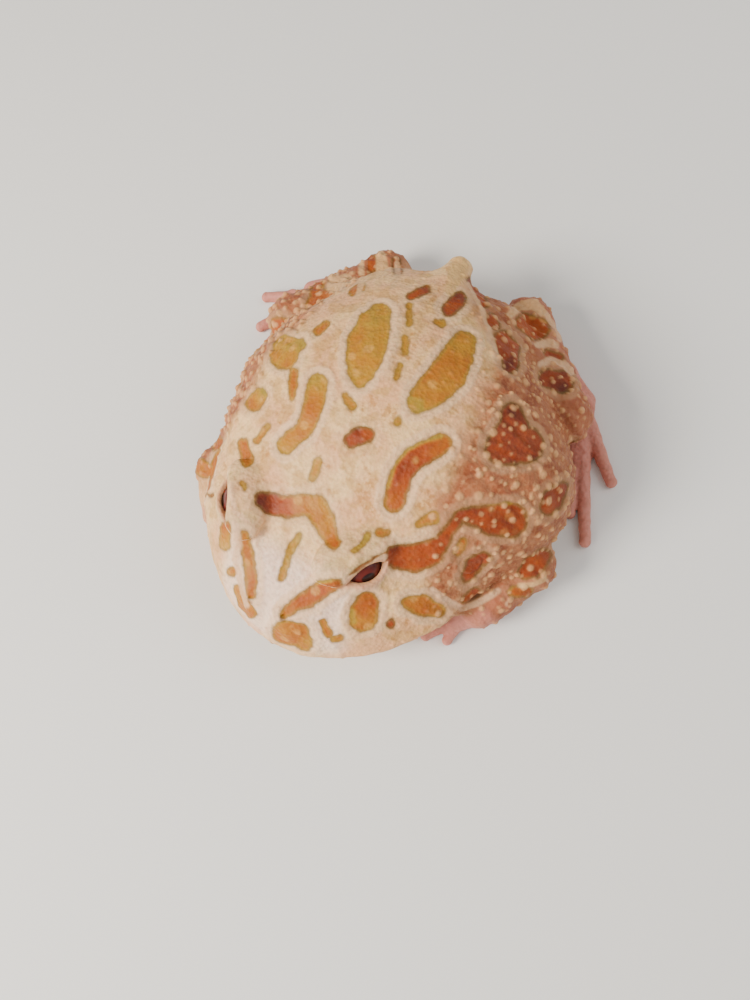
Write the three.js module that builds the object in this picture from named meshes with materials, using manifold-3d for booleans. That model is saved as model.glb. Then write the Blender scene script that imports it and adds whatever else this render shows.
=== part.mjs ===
// Argentine horned frog, life size, sitting flat on a floor.
// Millimetres, +Z up. The frog looks along -Y and its left side is +X.
// The floor is z = 0, and the origin is on it, under the middle of the belly.
//
// The flesh is one smooth field of distances, a soft union of rounded forms.
// It is meshed part by part and divided by thin cuts into the pieces that a
// person would name. Eyes, ears, hands and feet are forms of their own.
import * as THREE from "three";
import { mergeVertices } from "three/addons/utils/BufferGeometryUtils.js";
import Module from "manifold-3d";

// Cuts and floor
const GAP = 0.34; // width of the thin cut between two pieces
const FLOOR = 0; // height of the flats under the belly, hands and feet
const SNAPS = [0.02, 0.03, 0.015, 0.04, 0.01]; // vertices this near are one

// The line of the back, which bows a little to the frog's left
const HEAD_LEAN = 0.6;
const HEAD_TILT = -2.8; // how far the top of the head leans off that line
const SNOUT_LEAN = 0.3;
const BACK_LEAN = 2.6;
const BACK_LEAN_Y = 9;
const BACK_LEAN_SPAN = 21;
const RUMP_LEAN = -3.7;

// Trunk
const TRUNK_HALF_WIDTH = 38.9;
const TRUNK_HALF_LENGTH = 34;
const TRUNK_Y = 9; // the widest place
const TRUNK_Z = 12; // height of the widest place
const REAR_TAPER = 0.12; // how much narrower the rear is than an oval
const BACK_HEIGHT = 35; // top of the back
const BELLY_DEPTH = 16; // from the widest place down, past the floor
const RUMP_HALF_WIDTH = 23;
const RUMP_HALF_LENGTH = 20.5;
const RUMP_Y = 26.5;
const RUMP_HEIGHT = 27;
const VENT_Y = 47.7; // centre of the vent's bump
const VENT_Z = 18.6;
const VENT_RADIUS = 2.9;

// Head
const HEAD_HALF_WIDTH = 30.5;
const HEAD_HALF_LENGTH = 28.6;
const HEAD_Y = -13;
const HEAD_Z = 11;
const HEAD_HEIGHT = 27;
const SNOUT_TAPER = 0.14; // how much narrower the snout is than an oval
const THROAT_HEIGHT = 1; // the throat's clearance over the floor
const NECK_Y = -5; // the cut behind the head, at the back
const GULAR_Y = -15; // the same cut, under the throat
const MOUTH_FRONT_Z = 9.2; // height of the mouth line under the snout
const MOUTH_CORNER_Z = 11.5; // and at its corners
const LIP_ROLL = 0.8; // how far each lip stands out beside the line
const CANTHUS_RADIUS = 4; // ridge from the eye to the nostril
const NOSTRIL_MIDDLE = -0.6; // half way between the nostrils
const NOSTRIL_X = 3.3;
const NOSTRIL_Y = -35.8;
const NOSTRIL_Z = 19;
const NOSTRIL_RADIUS = 0.95;

// Eyes, lids and ears
const EYE_RADIUS = 4.3;
const EYE_MIDDLE = -2.05; // half way between the eyes, across the frog
const EYE_X = 13.95;
const EYE_Y = -20.7;
const EYE_Z = 22.9;
const LID_THICKNESS = 1.1; // flesh round the eyeball
const LID_OPENING_LENGTH = 9; // corner to corner of the eye
const LID_OPENING_HEIGHT = 2.9;
const LID_OPENING_RISE = 0.85; // how far it lies above the eye's middle
const LID_FACE = 3.85; // the upper lid's flat face, ahead of the eye's middle
const LID_FACE_CURVE = 0.14; // how fast that face runs out towards its ends
const LID_FACE_FLAT = 3.5; // and how far it stays flat to each side
const BROW_LENGTH = 17; // the flat top of the upper lid
const BROW_WIDTH = 10;
const BROW_THICKNESS = 4.6;
const BROW_TURN = 0.64; // radians off the frog's length, open to the front
const BROW_INWARD = 1.2; // from the eye's middle towards the crown
const BROW_RISE = 3.7; // and up
const HORN_HEIGHT = 1.3; // the soft horn on the edge of the upper lid
const HORN_RADIUS = 2.3;
const EAR_RADIUS = 2.5;
const EAR_DEPTH = 1.1;

// Limb thicknesses, as radii
const THIGH = [9.2, 5.8]; // hip, knee
const SHANK = [5.8, 6]; // knee, heel
const TARSUS = [4, 3.2]; // heel, sole, the long part of the foot
const UPPER_ARM = [7.5, 5.4]; // shoulder, elbow
const FOREARM = [5.5, 4.4]; // elbow, wrist
const PALM = [4, 3]; // wrist, roots of the fingers
const FINGER = [1.75, 1.15]; // root, tip
const TOE = [2.2, 1.3];
const DIGIT_BEND = 0.45; // where a digit's middle joint is, as a share
const WEB_THICKNESS = 1.1;
const WEB_REACH = 0.55; // share of each toe that the web borders

// The pose, from the photo: each joint is x, y, z, and each tip is x, y
const LIMBS = {
  left: {
    side: 1,
    shoulder: [25, -1, 10],
    elbow: [39.1, -2.8, 6.8],
    wrist: [34.2, -14.6, 5],
    palm: [31.2, -18.4, 3],
    fingers: [
      [31.1, -23.7],
      [26.6, -25],
      [22.4, -22],
      [24.6, -16.6],
    ],
    hip: [10, 37.6, 12],
    knee: [31.4, 29, 11],
    heel: [13.5, 48, 7],
    sole: [32.8, 37.2, 3],
    toes: [
      [31.5, 25.5],
      [36.5, 18.5],
      [41.5, 13.4],
      [47.2, 9.2],
      [46.4, 23.9],
    ],
  },
  right: {
    side: -1,
    shoulder: [-25, -4, 10],
    elbow: [-31.8, -14.6, 6.4],
    wrist: [-27.4, -22.6, 4.4],
    palm: [-24, -26.6, 2.7],
    fingers: [
      [-18.6, -31],
      [-14.8, -27.8],
      [-15.2, -23.4],
      [-19.6, -20.8],
    ],
    hip: [-14, 36, 11],
    knee: [-34, 24, 10.5],
    heel: [-22, 45.8, 6],
    sole: [-37.5, 35.5, 3],
    toes: [
      [-34, 24.5],
      [-38.6, 20],
      [-42, 18],
      [-46.2, 22.6],
      [-49.3, 30.4],
    ],
  },
};

// Size of the cells that each kind of piece is meshed with
const CELLS = {
  head: 2.4,
  lower_jaw: 2.9,
  torso: 3.45,
  eyelids: 1.45,
  upper_arm: 2.6,
  forearm: 2,
  hand: 1.4,
  thigh: 3,
  shank: 3,
  foot: 1.6,
};

// Colours
const CREAM = 0xe2cbb4;
const PALE_PINK = 0xd2a894;
const LID_CREAM = 0xd0bc98;
const RUBY = 0x4a1418;
const EAR_CREAM = 0xcfa58a;

// Forms, each a function from a place to its distance outside the form

function smooth(edge0, edge1, value) {
  const t = Math.min(1, Math.max(0, (value - edge0) / (edge1 - edge0)));
  return t * t * (3 - 2 * t);
}

// Soft union of two distances, rounded over a width k.
function blend(a, b, k) {
  const h = Math.max(k - Math.abs(a - b), 0) / k;
  return Math.min(a, b) - (h * h * k) / 4;
}

function ellipsoid(x, y, z, rx, ry, rz) {
  const near = Math.hypot(x / rx, y / ry, z / rz);
  const slope = Math.hypot(x / (rx * rx), y / (ry * ry), z / (rz * rz));
  return slope < 1e-9 ? -Math.min(rx, ry, rz) : (near * (near - 1)) / slope;
}

// A limb from a to b that tapers from one radius to the other.
function limb(x, y, z, a, b, radii) {
  const ux = b[0] - a[0];
  const uy = b[1] - a[1];
  const uz = b[2] - a[2];
  const px = x - a[0];
  const py = y - a[1];
  const pz = z - a[2];
  const along = (px * ux + py * uy + pz * uz) / (ux * ux + uy * uy + uz * uz);
  const t = Math.min(1, Math.max(0, along));
  const radius = radii[0] + (radii[1] - radii[0]) * t;
  return Math.hypot(px - ux * t, py - uy * t, pz - uz * t) - radius;
}

// A flat sheet on three corners seen from above, lying on the floor.
function sheet(x, y, z, corners, thickness) {
  const [a, b, c] = corners;
  const turn = Math.sign((b[0] - a[0]) * (c[1] - a[1]) - (b[1] - a[1]) * (c[0] - a[0]));
  let inside = true;
  let nearest = Infinity;
  for (let i = 0; i < 3; i++) {
    const from = corners[i];
    const to = corners[(i + 1) % 3];
    const ux = to[0] - from[0];
    const uy = to[1] - from[1];
    const px = x - from[0];
    const py = y - from[1];
    const t = Math.min(1, Math.max(0, (px * ux + py * uy) / (ux * ux + uy * uy)));
    nearest = Math.min(nearest, Math.hypot(px - ux * t, py - uy * t));
    if (turn * (ux * py - uy * px) < 0) inside = false;
  }
  const flat = inside ? -nearest : nearest;
  return Math.max(flat, Math.abs(z - thickness / 2) - thickness / 2);
}

function mix(a, b, t) {
  return a.map((v, i) => v + (b[i] - v) * t);
}

// Trunk and head

function lean(y) {
  const middle = Math.exp(-(((y - BACK_LEAN_Y) / BACK_LEAN_SPAN) ** 2));
  const ends = SNOUT_LEAN * smooth(-24, -42, y) + RUMP_LEAN * smooth(18, 50, y);
  return HEAD_LEAN + BACK_LEAN * middle + ends;
}

function trunk(s, y, z) {
  const down = z < TRUNK_Z;
  const main = ellipsoid(
    s * (1 + REAR_TAPER * smooth(8, 38, y)),
    y - TRUNK_Y,
    z - TRUNK_Z,
    TRUNK_HALF_WIDTH,
    TRUNK_HALF_LENGTH,
    down ? BELLY_DEPTH : BACK_HEIGHT - TRUNK_Z,
  );
  const rump = ellipsoid(
    s,
    y - RUMP_Y,
    z - TRUNK_Z,
    RUMP_HALF_WIDTH,
    RUMP_HALF_LENGTH,
    down ? BELLY_DEPTH - 2 : RUMP_HEIGHT - TRUNK_Z,
  );
  const root = [0, VENT_Y - 10, VENT_Z + 0.5];
  const vent = limb(s, y, z, root, [0, VENT_Y, VENT_Z], [6.5, VENT_RADIUS]);
  return blend(blend(main, rump, 6), vent, 2);
}

function skull(s, y, z) {
  const down = z < HEAD_Z;
  const cheeks = ellipsoid(
    s * (1 + SNOUT_TAPER * smooth(-18, -42, y)),
    y - HEAD_Y,
    z - HEAD_Z,
    HEAD_HALF_WIDTH,
    HEAD_HALF_LENGTH,
    down ? HEAD_Z - THROAT_HEIGHT : HEAD_HEIGHT - HEAD_Z,
  );
  const swell = ellipsoid(s - EYE_X + 2.2, y - EYE_Y - 1.5, z - EYE_Z + 3.2, 7.6, 9, 6.8);
  const canthus = limb(
    s,
    y,
    z,
    [EYE_X - 3, EYE_Y - 5, EYE_Z - 1.6],
    [NOSTRIL_X, NOSTRIL_Y, NOSTRIL_Z - 2.4],
    [CANTHUS_RADIUS, CANTHUS_RADIUS - 1],
  );
  const nostril = ellipsoid(
    s - NOSTRIL_X,
    y - NOSTRIL_Y,
    z - NOSTRIL_Z,
    2.1,
    2.1,
    1.6,
  );
  return blend(blend(blend(cheeks, swell, 3), canthus, 3), nostril, 1.4);
}

function mouthHeight(y) {
  const back = smooth(-42, NECK_Y, y);
  return MOUTH_FRONT_Z + (MOUTH_CORNER_Z - MOUTH_FRONT_Z) * back;
}

// The trunk and head as one form, with a roll along each lip.
function core(x, y, z) {
  const across = x - lean(y);
  const tilted = across - HEAD_TILT * smooth(10, 24, z) * smooth(-2, -14, y);
  const plain = blend(trunk(Math.abs(across), y, z), skull(Math.abs(tilted), y, z), 5);
  const beside = Math.abs(z - mouthHeight(y));
  const roll = Math.exp(-(((beside - 2) / 1.3) ** 2));
  const ahead = 1 - smooth(NECK_Y - 7, NECK_Y - 1, y);
  return plain - LIP_ROLL * roll * ahead;
}

// Lids: flesh round the eyeball, a flat brow over it and the soft horn

function eyeCentre(side) {
  return new THREE.Vector3(EYE_MIDDLE + side * EYE_X, EYE_Y, EYE_Z);
}

// The way an eye looks: out, ahead and up.
function eyeWay(side) {
  return new THREE.Vector3(side * 0.75, -0.46, 0.48).normalize();
}

function lidForm(side) {
  const c = eyeCentre(side);
  const way = eyeWay(side);
  const browCentre = c.clone().add(new THREE.Vector3(-side * BROW_INWARD, 0, BROW_RISE));
  const foot = c.clone().addScaledVector(way, 0.8);
  foot.z += EYE_RADIUS - 0.4;
  const tip = foot.clone().addScaledVector(way, 0.4);
  tip.z += HORN_HEIGHT;
  const horn = [foot.toArray(), tip.toArray()];
  const up = way.clone().cross(new THREE.Vector3(0, 0, 1).cross(way).normalize());
  const cos = Math.cos(BROW_TURN * side);
  const sin = Math.sin(BROW_TURN * side);
  return (x, y, z) => {
    const ball = Math.hypot(x - c.x, y - c.y, z - c.z) - EYE_RADIUS - LID_THICKNESS;
    const bx = x - browCentre.x;
    const by = y - browCentre.y;
    const brow = ellipsoid(
      bx * cos - by * sin,
      bx * sin + by * cos,
      z - browCentre.z,
      BROW_WIDTH / 2,
      BROW_LENGTH / 2,
      BROW_THICKNESS / 2,
    );
    const point = limb(x, y, z, horn[0], horn[1], [HORN_RADIUS, 0.9]);
    const form = blend(blend(ball, brow, 2), point, 1.6);
    const off = new THREE.Vector3(x, y, z).sub(c);
    const across = Math.abs(off.x * way.y - off.y * way.x);
    const face = LID_FACE + LID_FACE_CURVE * Math.max(across - LID_FACE_FLAT, 0) ** 2;
    const before = Math.max(face - off.dot(way), LID_OPENING_RISE - off.dot(up));
    return -blend(-form, before, 0.8);
  };
}

// Hands and feet

function digit(x, y, z, root, tip, radii) {
  const middle = mix(root, tip, DIGIT_BEND);
  const half = (radii[0] + radii[1]) / 2 - 0.1;
  const a = [root[0], root[1], radii[0] - 0.2];
  const b = [middle[0], middle[1], half + 0.1];
  const c = [tip[0], tip[1], radii[1] - 0.2];
  const first = limb(x, y, z, a, b, [radii[0], half]);
  const second = limb(x, y, z, b, c, [half, radii[1] - 0.1]);
  const pad = Math.hypot(x - c[0], y - c[1], z - c[2]) - radii[1];
  return Math.min(blend(first, second, 0.6), pad);
}

function handForm(pose) {
  return (x, y, z) => {
    let form = limb(x, y, z, pose.wrist, pose.palm, PALM);
    for (const tip of pose.fingers) {
      form = blend(form, digit(x, y, z, pose.palm, tip, FINGER), 0.8);
    }
    return form;
  };
}

function footForm(pose) {
  const spade = mix(pose.sole, [...pose.toes[0], 3], 0.25);
  return (x, y, z) => {
    let form = limb(x, y, z, pose.heel, pose.sole, TARSUS);
    for (const tip of pose.toes) {
      form = blend(form, digit(x, y, z, pose.sole, tip, TOE), 0.8);
    }
    for (let i = 0; i + 1 < pose.toes.length; i++) {
      const root = pose.sole.slice(0, 2);
      const corners = [
        root,
        mix(root, pose.toes[i], WEB_REACH),
        mix(root, pose.toes[i + 1], WEB_REACH),
      ];
      form = blend(form, sheet(x, y, z, corners, WEB_THICKNESS), 0.5);
    }
    const tubercle = ellipsoid(x - spade[0], y - spade[1], z - 1.4, 2, 2.6, 1.6);
    return blend(form, tubercle, 0.8);
  };
}

// The whole skin but for hands and feet

const lids = Object.values(LIMBS).map((pose) => lidForm(pose.side));

function skin(x, y, z) {
  let form = core(x, y, z);
  for (const lid of lids) form = blend(form, lid(x, y, z), 1.2);
  for (const pose of Object.values(LIMBS)) {
    const arm = limb(x, y, z, pose.shoulder, pose.elbow, UPPER_ARM);
    const forearm = limb(x, y, z, pose.elbow, pose.wrist, FOREARM);
    const thigh = limb(x, y, z, pose.hip, pose.knee, THIGH);
    const shank = limb(x, y, z, pose.knee, pose.heel, SHANK);
    form = blend(form, blend(arm, forearm, 1.5), 3.6);
    form = blend(form, blend(thigh, shank, 1.6), 2.4);
  }
  return form;
}

// Meshing: one vertex in each cell that the surface crosses, then one quad
// across each edge of the grid that it crosses. The lowest layer of cells
// straddles the floor and holds the flats.

const CORNERS = [];
for (let n = 0; n < 8; n++) CORNERS.push([n & 1, (n >> 1) & 1, (n >> 2) & 1]);
const EDGES = [];
for (let a = 0; a < 8; a++) {
  for (let b = a + 1; b < 8; b++) {
    if ([1, 2, 4].includes(a ^ b)) EDGES.push([CORNERS[a], CORNERS[b]]);
  }
}

// Whether the corners of one side of the surface hang together in a cell.
function together(inside) {
  const first = inside.indexOf(true);
  if (first < 0) return true;
  const reached = new Set([first]);
  for (const n of reached) {
    for (const bit of [1, 2, 4]) if (inside[n ^ bit]) reached.add(n ^ bit);
  }
  return reached.size === inside.filter(Boolean).length;
}

// Where the surface would touch itself inside a cell, the corner that is
// nearest to the surface changes sides.
function untangle(value, size, cell) {
  const [nx, ny, nz] = size;
  const at = (i, j, k) => (k * ny + j) * nx + i;
  const moved = new Set();
  for (let round = 0, changed = true; changed && round < 30; round++) {
    changed = false;
    for (let k = 0; k < nz - 1; k++) {
      for (let j = 0; j < ny - 1; j++) {
        for (let i = 0; i < nx - 1; i++) {
          const cells = CORNERS.map((c) => at(i + c[0], j + c[1], k + c[2]));
          const inside = cells.map((n) => value[n] < 0);
          let tangled = !together(inside) || !together(inside.map((v) => !v));
          for (const bit of [1, 2, 4]) {
            const [u, v] = [1, 2, 4].filter((b) => b !== bit);
            for (const start of [0, bit]) {
              const face = [start, start ^ u, start ^ v, start ^ u ^ v];
              const [a, b, c, d] = face.map((n) => inside[n]);
              if (a === d && b === c && a !== b) tangled = true;
            }
          }
          if (!tangled) continue;
          const free = cells.filter((n) => value[n] < cell * 4 && !moved.has(n));
          if (!free.length) continue;
          free.sort((a, b) => Math.abs(value[a]) - Math.abs(value[b]));
          value[free[0]] = (value[free[0]] < 0 ? 1 : -1) * cell * 0.1;
          moved.add(free[0]);
          changed = true;
        }
      }
    }
  }
}

function netOf(form, box, cell) {
  const low = [
    Math.floor(box.min.x / cell) - 1,
    Math.floor(box.min.y / cell) - 1,
    Math.max(-1, Math.floor(box.min.z / cell) - 1),
  ];
  const size = [
    Math.ceil(box.max.x / cell) - low[0] + 2,
    Math.ceil(box.max.y / cell) - low[1] + 2,
    Math.ceil(box.max.z / cell) - low[2] + 2,
  ];
  const [nx, ny, nz] = size;
  const onFloor = low[2] === -1;
  const at = (i, j, k) => (k * ny + j) * nx + i;
  const place = (i, j, k) => [
    (low[0] + i) * cell,
    (low[1] + j) * cell,
    (low[2] + k + 0.5) * cell,
  ];
  const value = new Float64Array(nx * ny * nz);
  for (let k = 0; k < nz; k++) {
    for (let j = 0; j < ny; j++) {
      for (let i = 0; i < nx; i++) {
        const p = place(i, j, k);
        const last = i === nx - 1 || j === ny - 1 || k === nz - 1;
        const edge = last || i === 0 || j === 0 || k === 0;
        const v = Math.max(form(...p), FLOOR - p[2]);
        value[at(i, j, k)] = edge ? Math.max(v, cell * 4) : v;
      }
    }
  }
  untangle(value, size, cell);
  const vertexOf = new Int32Array(nx * ny * nz).fill(-1);
  const positions = [];
  for (let k = 0; k < nz - 1; k++) {
    for (let j = 0; j < ny - 1; j++) {
      for (let i = 0; i < nx - 1; i++) {
        const sum = new THREE.Vector3();
        let crossings = 0;
        for (const [a, b] of EDGES) {
          const va = value[at(i + a[0], j + a[1], k + a[2])];
          const vb = value[at(i + b[0], j + b[1], k + b[2])];
          if (va < 0 === vb < 0) continue;
          const pa = place(i + a[0], j + a[1], k + a[2]);
          const pb = place(i + b[0], j + b[1], k + b[2]);
          sum.add(new THREE.Vector3(...mix(pa, pb, va / (va - vb))));
          crossings++;
        }
        if (!crossings) continue;
        const p = sum.divideScalar(crossings);
        if (onFloor && k === 0 && form(p.x, p.y, FLOOR) < 0) p.z = FLOOR;
        else settle(p, form, cell);
        vertexOf[at(i, j, k)] = positions.length / 3;
        positions.push(p.x, p.y, p.z);
      }
    }
  }
  const index = [];
  const quad = (cells, flip) => {
    const [a, b, c, d] = cells.map((q) => vertexOf[at(...q)]);
    if (flip) index.push(a, c, b, a, d, c);
    else index.push(a, b, c, a, c, d);
  };
  for (let k = 0; k < nz - 1; k++) {
    for (let j = 0; j < ny - 1; j++) {
      for (let i = 0; i < nx - 1; i++) {
        const here = value[at(i, j, k)] < 0;
        const [h, g, f] = [i - 1, j - 1, k - 1];
        if (here !== value[at(i + 1, j, k)] < 0) {
          quad([[i, g, f], [i, j, f], [i, j, k], [i, g, k]], !here);
        }
        if (here !== value[at(i, j + 1, k)] < 0) {
          quad([[h, j, f], [h, j, k], [i, j, k], [i, j, f]], !here);
        }
        if (here !== value[at(i, j, k + 1)] < 0) {
          quad([[h, g, k], [i, g, k], [i, j, k], [h, j, k]], !here);
        }
      }
    }
  }
  const geometry = new THREE.BufferGeometry();
  geometry.setAttribute("position", new THREE.Float32BufferAttribute(positions, 3));
  geometry.setIndex(index);
  return geometry;
}

// Moves a vertex of the net onto the true surface.
function settle(p, form, cell) {
  const d = 0.05;
  for (let round = 0; round < 2; round++) {
    const off = form(p.x, p.y, p.z);
    if (Math.abs(off) > cell * 0.6) return;
    const way = new THREE.Vector3(
      form(p.x + d, p.y, p.z) - form(p.x - d, p.y, p.z),
      form(p.x, p.y + d, p.z) - form(p.x, p.y - d, p.z),
      form(p.x, p.y, p.z + d) - form(p.x, p.y, p.z - d),
    ).divideScalar(2 * d);
    const step = off / Math.max(0.4, way.lengthSq());
    const most = cell * 0.3;
    p.addScaledVector(way, -Math.min(most, Math.max(-most, step)));
    p.z = Math.max(p.z, FLOOR);
  }
}

// Joins and cuts

const wasm = await Module();
wasm.setup();

function solidOf(geometry) {
  const bare = geometry.clone();
  bare.deleteAttribute("normal");
  bare.deleteAttribute("uv");
  const merged = mergeVertices(bare, 1e-4);
  return new wasm.Manifold(
    new wasm.Mesh({
      numProp: 3,
      vertProperties: merged.attributes.position.array,
      triVerts: new Uint32Array(merged.index.array),
    }),
  );
}

function geometryOf(solid) {
  const mesh = solid.getMesh();
  const n = mesh.numProp;
  const positions = new Float32Array(mesh.numVert * 3);
  for (let i = 0; i < mesh.numVert; i++) {
    positions.set(mesh.vertProperties.subarray(i * n, i * n + 3), i * 3);
  }
  const geometry = new THREE.BufferGeometry();
  geometry.setAttribute("position", new THREE.BufferAttribute(positions, 3));
  geometry.setIndex(new THREE.BufferAttribute(new Uint32Array(mesh.triVerts), 1));
  geometry.computeVertexNormals();
  return geometry;
}

// The largest closed surface, so that no loose scrap stays.
function largest(solid) {
  const bodies = solid.decompose();
  bodies.sort((a, b) => b.volume() - a.volume());
  return bodies[0];
}

// The faces of a solid with vertices that all but touch drawn together, and
// without the slivers that this flattens.
function drawnTogether(solid, snap) {
  const mesh = solid.getMesh();
  const n = mesh.numProp;
  const placeOf = new Map();
  const positions = [];
  const merged = [];
  for (let i = 0; i < mesh.numVert; i++) {
    const p = [...mesh.vertProperties.subarray(i * n, i * n + 3)];
    const snapped = p.map((v) => Math.round(v / snap) * snap);
    const key = snapped.map((v) => v.toFixed(4)).join(" ");
    if (!placeOf.has(key)) {
      placeOf.set(key, positions.length / 3);
      positions.push(...snapped);
    }
    merged.push(placeOf.get(key));
  }
  const faces = new Map();
  for (let i = 0; i < mesh.triVerts.length; i += 3) {
    const t = [...mesh.triVerts.subarray(i, i + 3)].map((v) => merged[v]);
    if (t[0] === t[1] || t[1] === t[2] || t[0] === t[2]) continue;
    const first = t.indexOf(Math.min(...t));
    const turned = [t[first], t[(first + 1) % 3], t[(first + 2) % 3]];
    const flipped = [turned[0], turned[2], turned[1]].join(" ");
    if (faces.has(flipped)) faces.delete(flipped);
    else faces.set(turned.join(" "), turned);
  }
  const geometry = new THREE.BufferGeometry();
  geometry.setAttribute("position", new THREE.Float32BufferAttribute(positions, 3));
  geometry.setIndex([...faces.values()].flat());
  return geometry;
}

// Whether the surface touches itself along an edge.
function pinched(geometry) {
  const uses = new Map();
  const index = geometry.index.array;
  for (let i = 0; i < index.length; i += 3) {
    for (let n = 0; n < 3; n++) {
      const ends = [index[i + n], index[i + ((n + 1) % 3)]].sort((a, b) => a - b);
      const key = ends.join(" ");
      uses.set(key, (uses.get(key) ?? 0) + 1);
    }
  }
  return [...uses.values()].some((count) => count !== 2);
}

function cleaned(solid) {
  for (const snap of SNAPS) {
    const geometry = drawnTogether(solid, snap);
    if (pinched(geometry)) continue;
    const body = largest(solidOf(geometry));
    if (!pinched(geometryOf(body))) return body;
  }
  return largest(solid);
}

// A ball or a flattened ball, its short axis along a way.
function ball(centre, way, radius, depth, segments) {
  const geometry = new THREE.SphereGeometry(1, segments, Math.round(segments * 0.6));
  geometry.rotateX(Math.PI / 2);
  geometry.scale(radius, radius, depth);
  const up = new THREE.Vector3(0, 0, 1);
  geometry.applyQuaternion(new THREE.Quaternion().setFromUnitVectors(up, way));
  geometry.translate(centre.x, centre.y, centre.z);
  return geometry;
}

// A tapered limb with round ends, thicker all round by a margin. Its flat
// facets lie outside the round limb.
function sleeve(from, to, radii, margin) {
  const outside = 1 / Math.cos(Math.PI / 12);
  const a = new THREE.Vector3(...from);
  const b = new THREE.Vector3(...to);
  const length = a.distanceTo(b);
  const steps = 3;
  const profile = [];
  for (let i = 0; i <= steps; i++) {
    const angle = (i / steps) * (Math.PI / 2);
    const r = (radii[0] + margin) * outside;
    profile.push(new THREE.Vector2(r * Math.sin(angle), -r * Math.cos(angle)));
  }
  for (let i = 0; i <= steps; i++) {
    const angle = (i / steps) * (Math.PI / 2);
    const r = (radii[1] + margin) * outside;
    profile.push(new THREE.Vector2(r * Math.cos(angle), length + r * Math.sin(angle)));
  }
  profile[0].x = 0;
  profile.at(-1).x = 0;
  const geometry = new THREE.LatheGeometry(profile, 12);
  const up = new THREE.Vector3(0, 1, 0);
  const way = b.sub(a).normalize();
  geometry.applyQuaternion(new THREE.Quaternion().setFromUnitVectors(up, way));
  geometry.translate(a.x, a.y, a.z);
  return solidOf(geometry);
}

// A block that spans the frog's width, from a profile of y and z.
function block(points) {
  const shape = new THREE.Shape(points.map((p) => new THREE.Vector2(...p)));
  const geometry = new THREE.ExtrudeGeometry(shape, { depth: 120, bevelEnabled: false });
  const basis = new THREE.Matrix4().makeBasis(
    new THREE.Vector3(0, 1, 0),
    new THREE.Vector3(0, 0, 1),
    new THREE.Vector3(1, 0, 0),
  );
  geometry.applyMatrix4(basis);
  geometry.translate(-60, 0, 0);
  return solidOf(geometry);
}

// The cuts of the mouth and the neck, as profiles moved off by half of the gap.
function mouthLine(offset) {
  const line = [];
  for (let i = 0; i <= 10; i++) {
    const y = -50 + (i / 10) * (NECK_Y + 55);
    line.push([y, mouthHeight(y) + offset]);
  }
  return line;
}

function neckLine(offset) {
  return [
    [NECK_Y + offset, 60],
    [NECK_Y + offset, MOUTH_CORNER_Z],
    [GULAR_Y + offset, -4],
  ];
}

const half = GAP / 2;
const headBlock = block([...mouthLine(half), [60, 20], [60, 60], [-50, 60]]).intersect(
  block([...neckLine(-half), [-50, -4], [-50, 60]]),
);
const jawBlock = block([...mouthLine(-half), [60, 8], [60, -4], [-50, -4]]).intersect(
  block([...neckLine(-half), [-50, -4], [-50, 60]]),
);
const torsoBlock = block([...neckLine(half * 1.3), [60, -4], [60, 60]]);

// The slit between the lids: a pointed oval pushed out along the eye's way.
function lidSlit(side) {
  const end = LID_OPENING_LENGTH / 2;
  const lens = new THREE.Shape();
  lens.moveTo(-end, 0);
  lens.quadraticCurveTo(0, LID_OPENING_HEIGHT, end, 0);
  lens.quadraticCurveTo(0, -LID_OPENING_HEIGHT, -end, 0);
  const geometry = new THREE.ExtrudeGeometry(lens, {
    depth: 12,
    bevelEnabled: false,
    curveSegments: 6,
  });
  const way = eyeWay(side);
  const across = new THREE.Vector3(0, 0, 1).cross(way).normalize();
  const up = way.clone().cross(across);
  geometry.applyMatrix4(new THREE.Matrix4().makeBasis(across, up, way));
  const c = eyeCentre(side).addScaledVector(up, LID_OPENING_RISE);
  geometry.translate(c.x, c.y, c.z);
  return solidOf(geometry);
}

// Where a ray from inside the flesh comes out through the skin.
function skinPoint(from, way) {
  const p = from.clone();
  while (skin(p.x, p.y, p.z) < 0) p.addScaledVector(way, 0.05);
  return p;
}

function meshed(form, low, high, cell) {
  const box = new THREE.Box3(new THREE.Vector3(...low), new THREE.Vector3(...high));
  return solidOf(netOf(form, box, cell));
}

// The box round a limb, with room for its round ends and its cuts.
function around(points, room) {
  const box = new THREE.Box3();
  for (const p of points) box.expandByPoint(new THREE.Vector3(p[0], p[1], p[2] ?? 0));
  box.expandByScalar(room);
  return [box.min.toArray(), box.max.toArray()];
}

const solids = {};
let head = meshed(skin, [-38, -46, 6], [38, NECK_Y + 2, 40], CELLS.head);
let jaw = meshed(skin, [-38, -46, 0], [38, NECK_Y + 2, 15], CELLS.lower_jaw);
let torso = meshed(skin, [-52, GULAR_Y - 3, 0], [52, 58, 40], CELLS.torso);
head = head.intersect(headBlock);
jaw = jaw.intersect(jawBlock);
torso = torso.intersect(torsoBlock);

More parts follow.
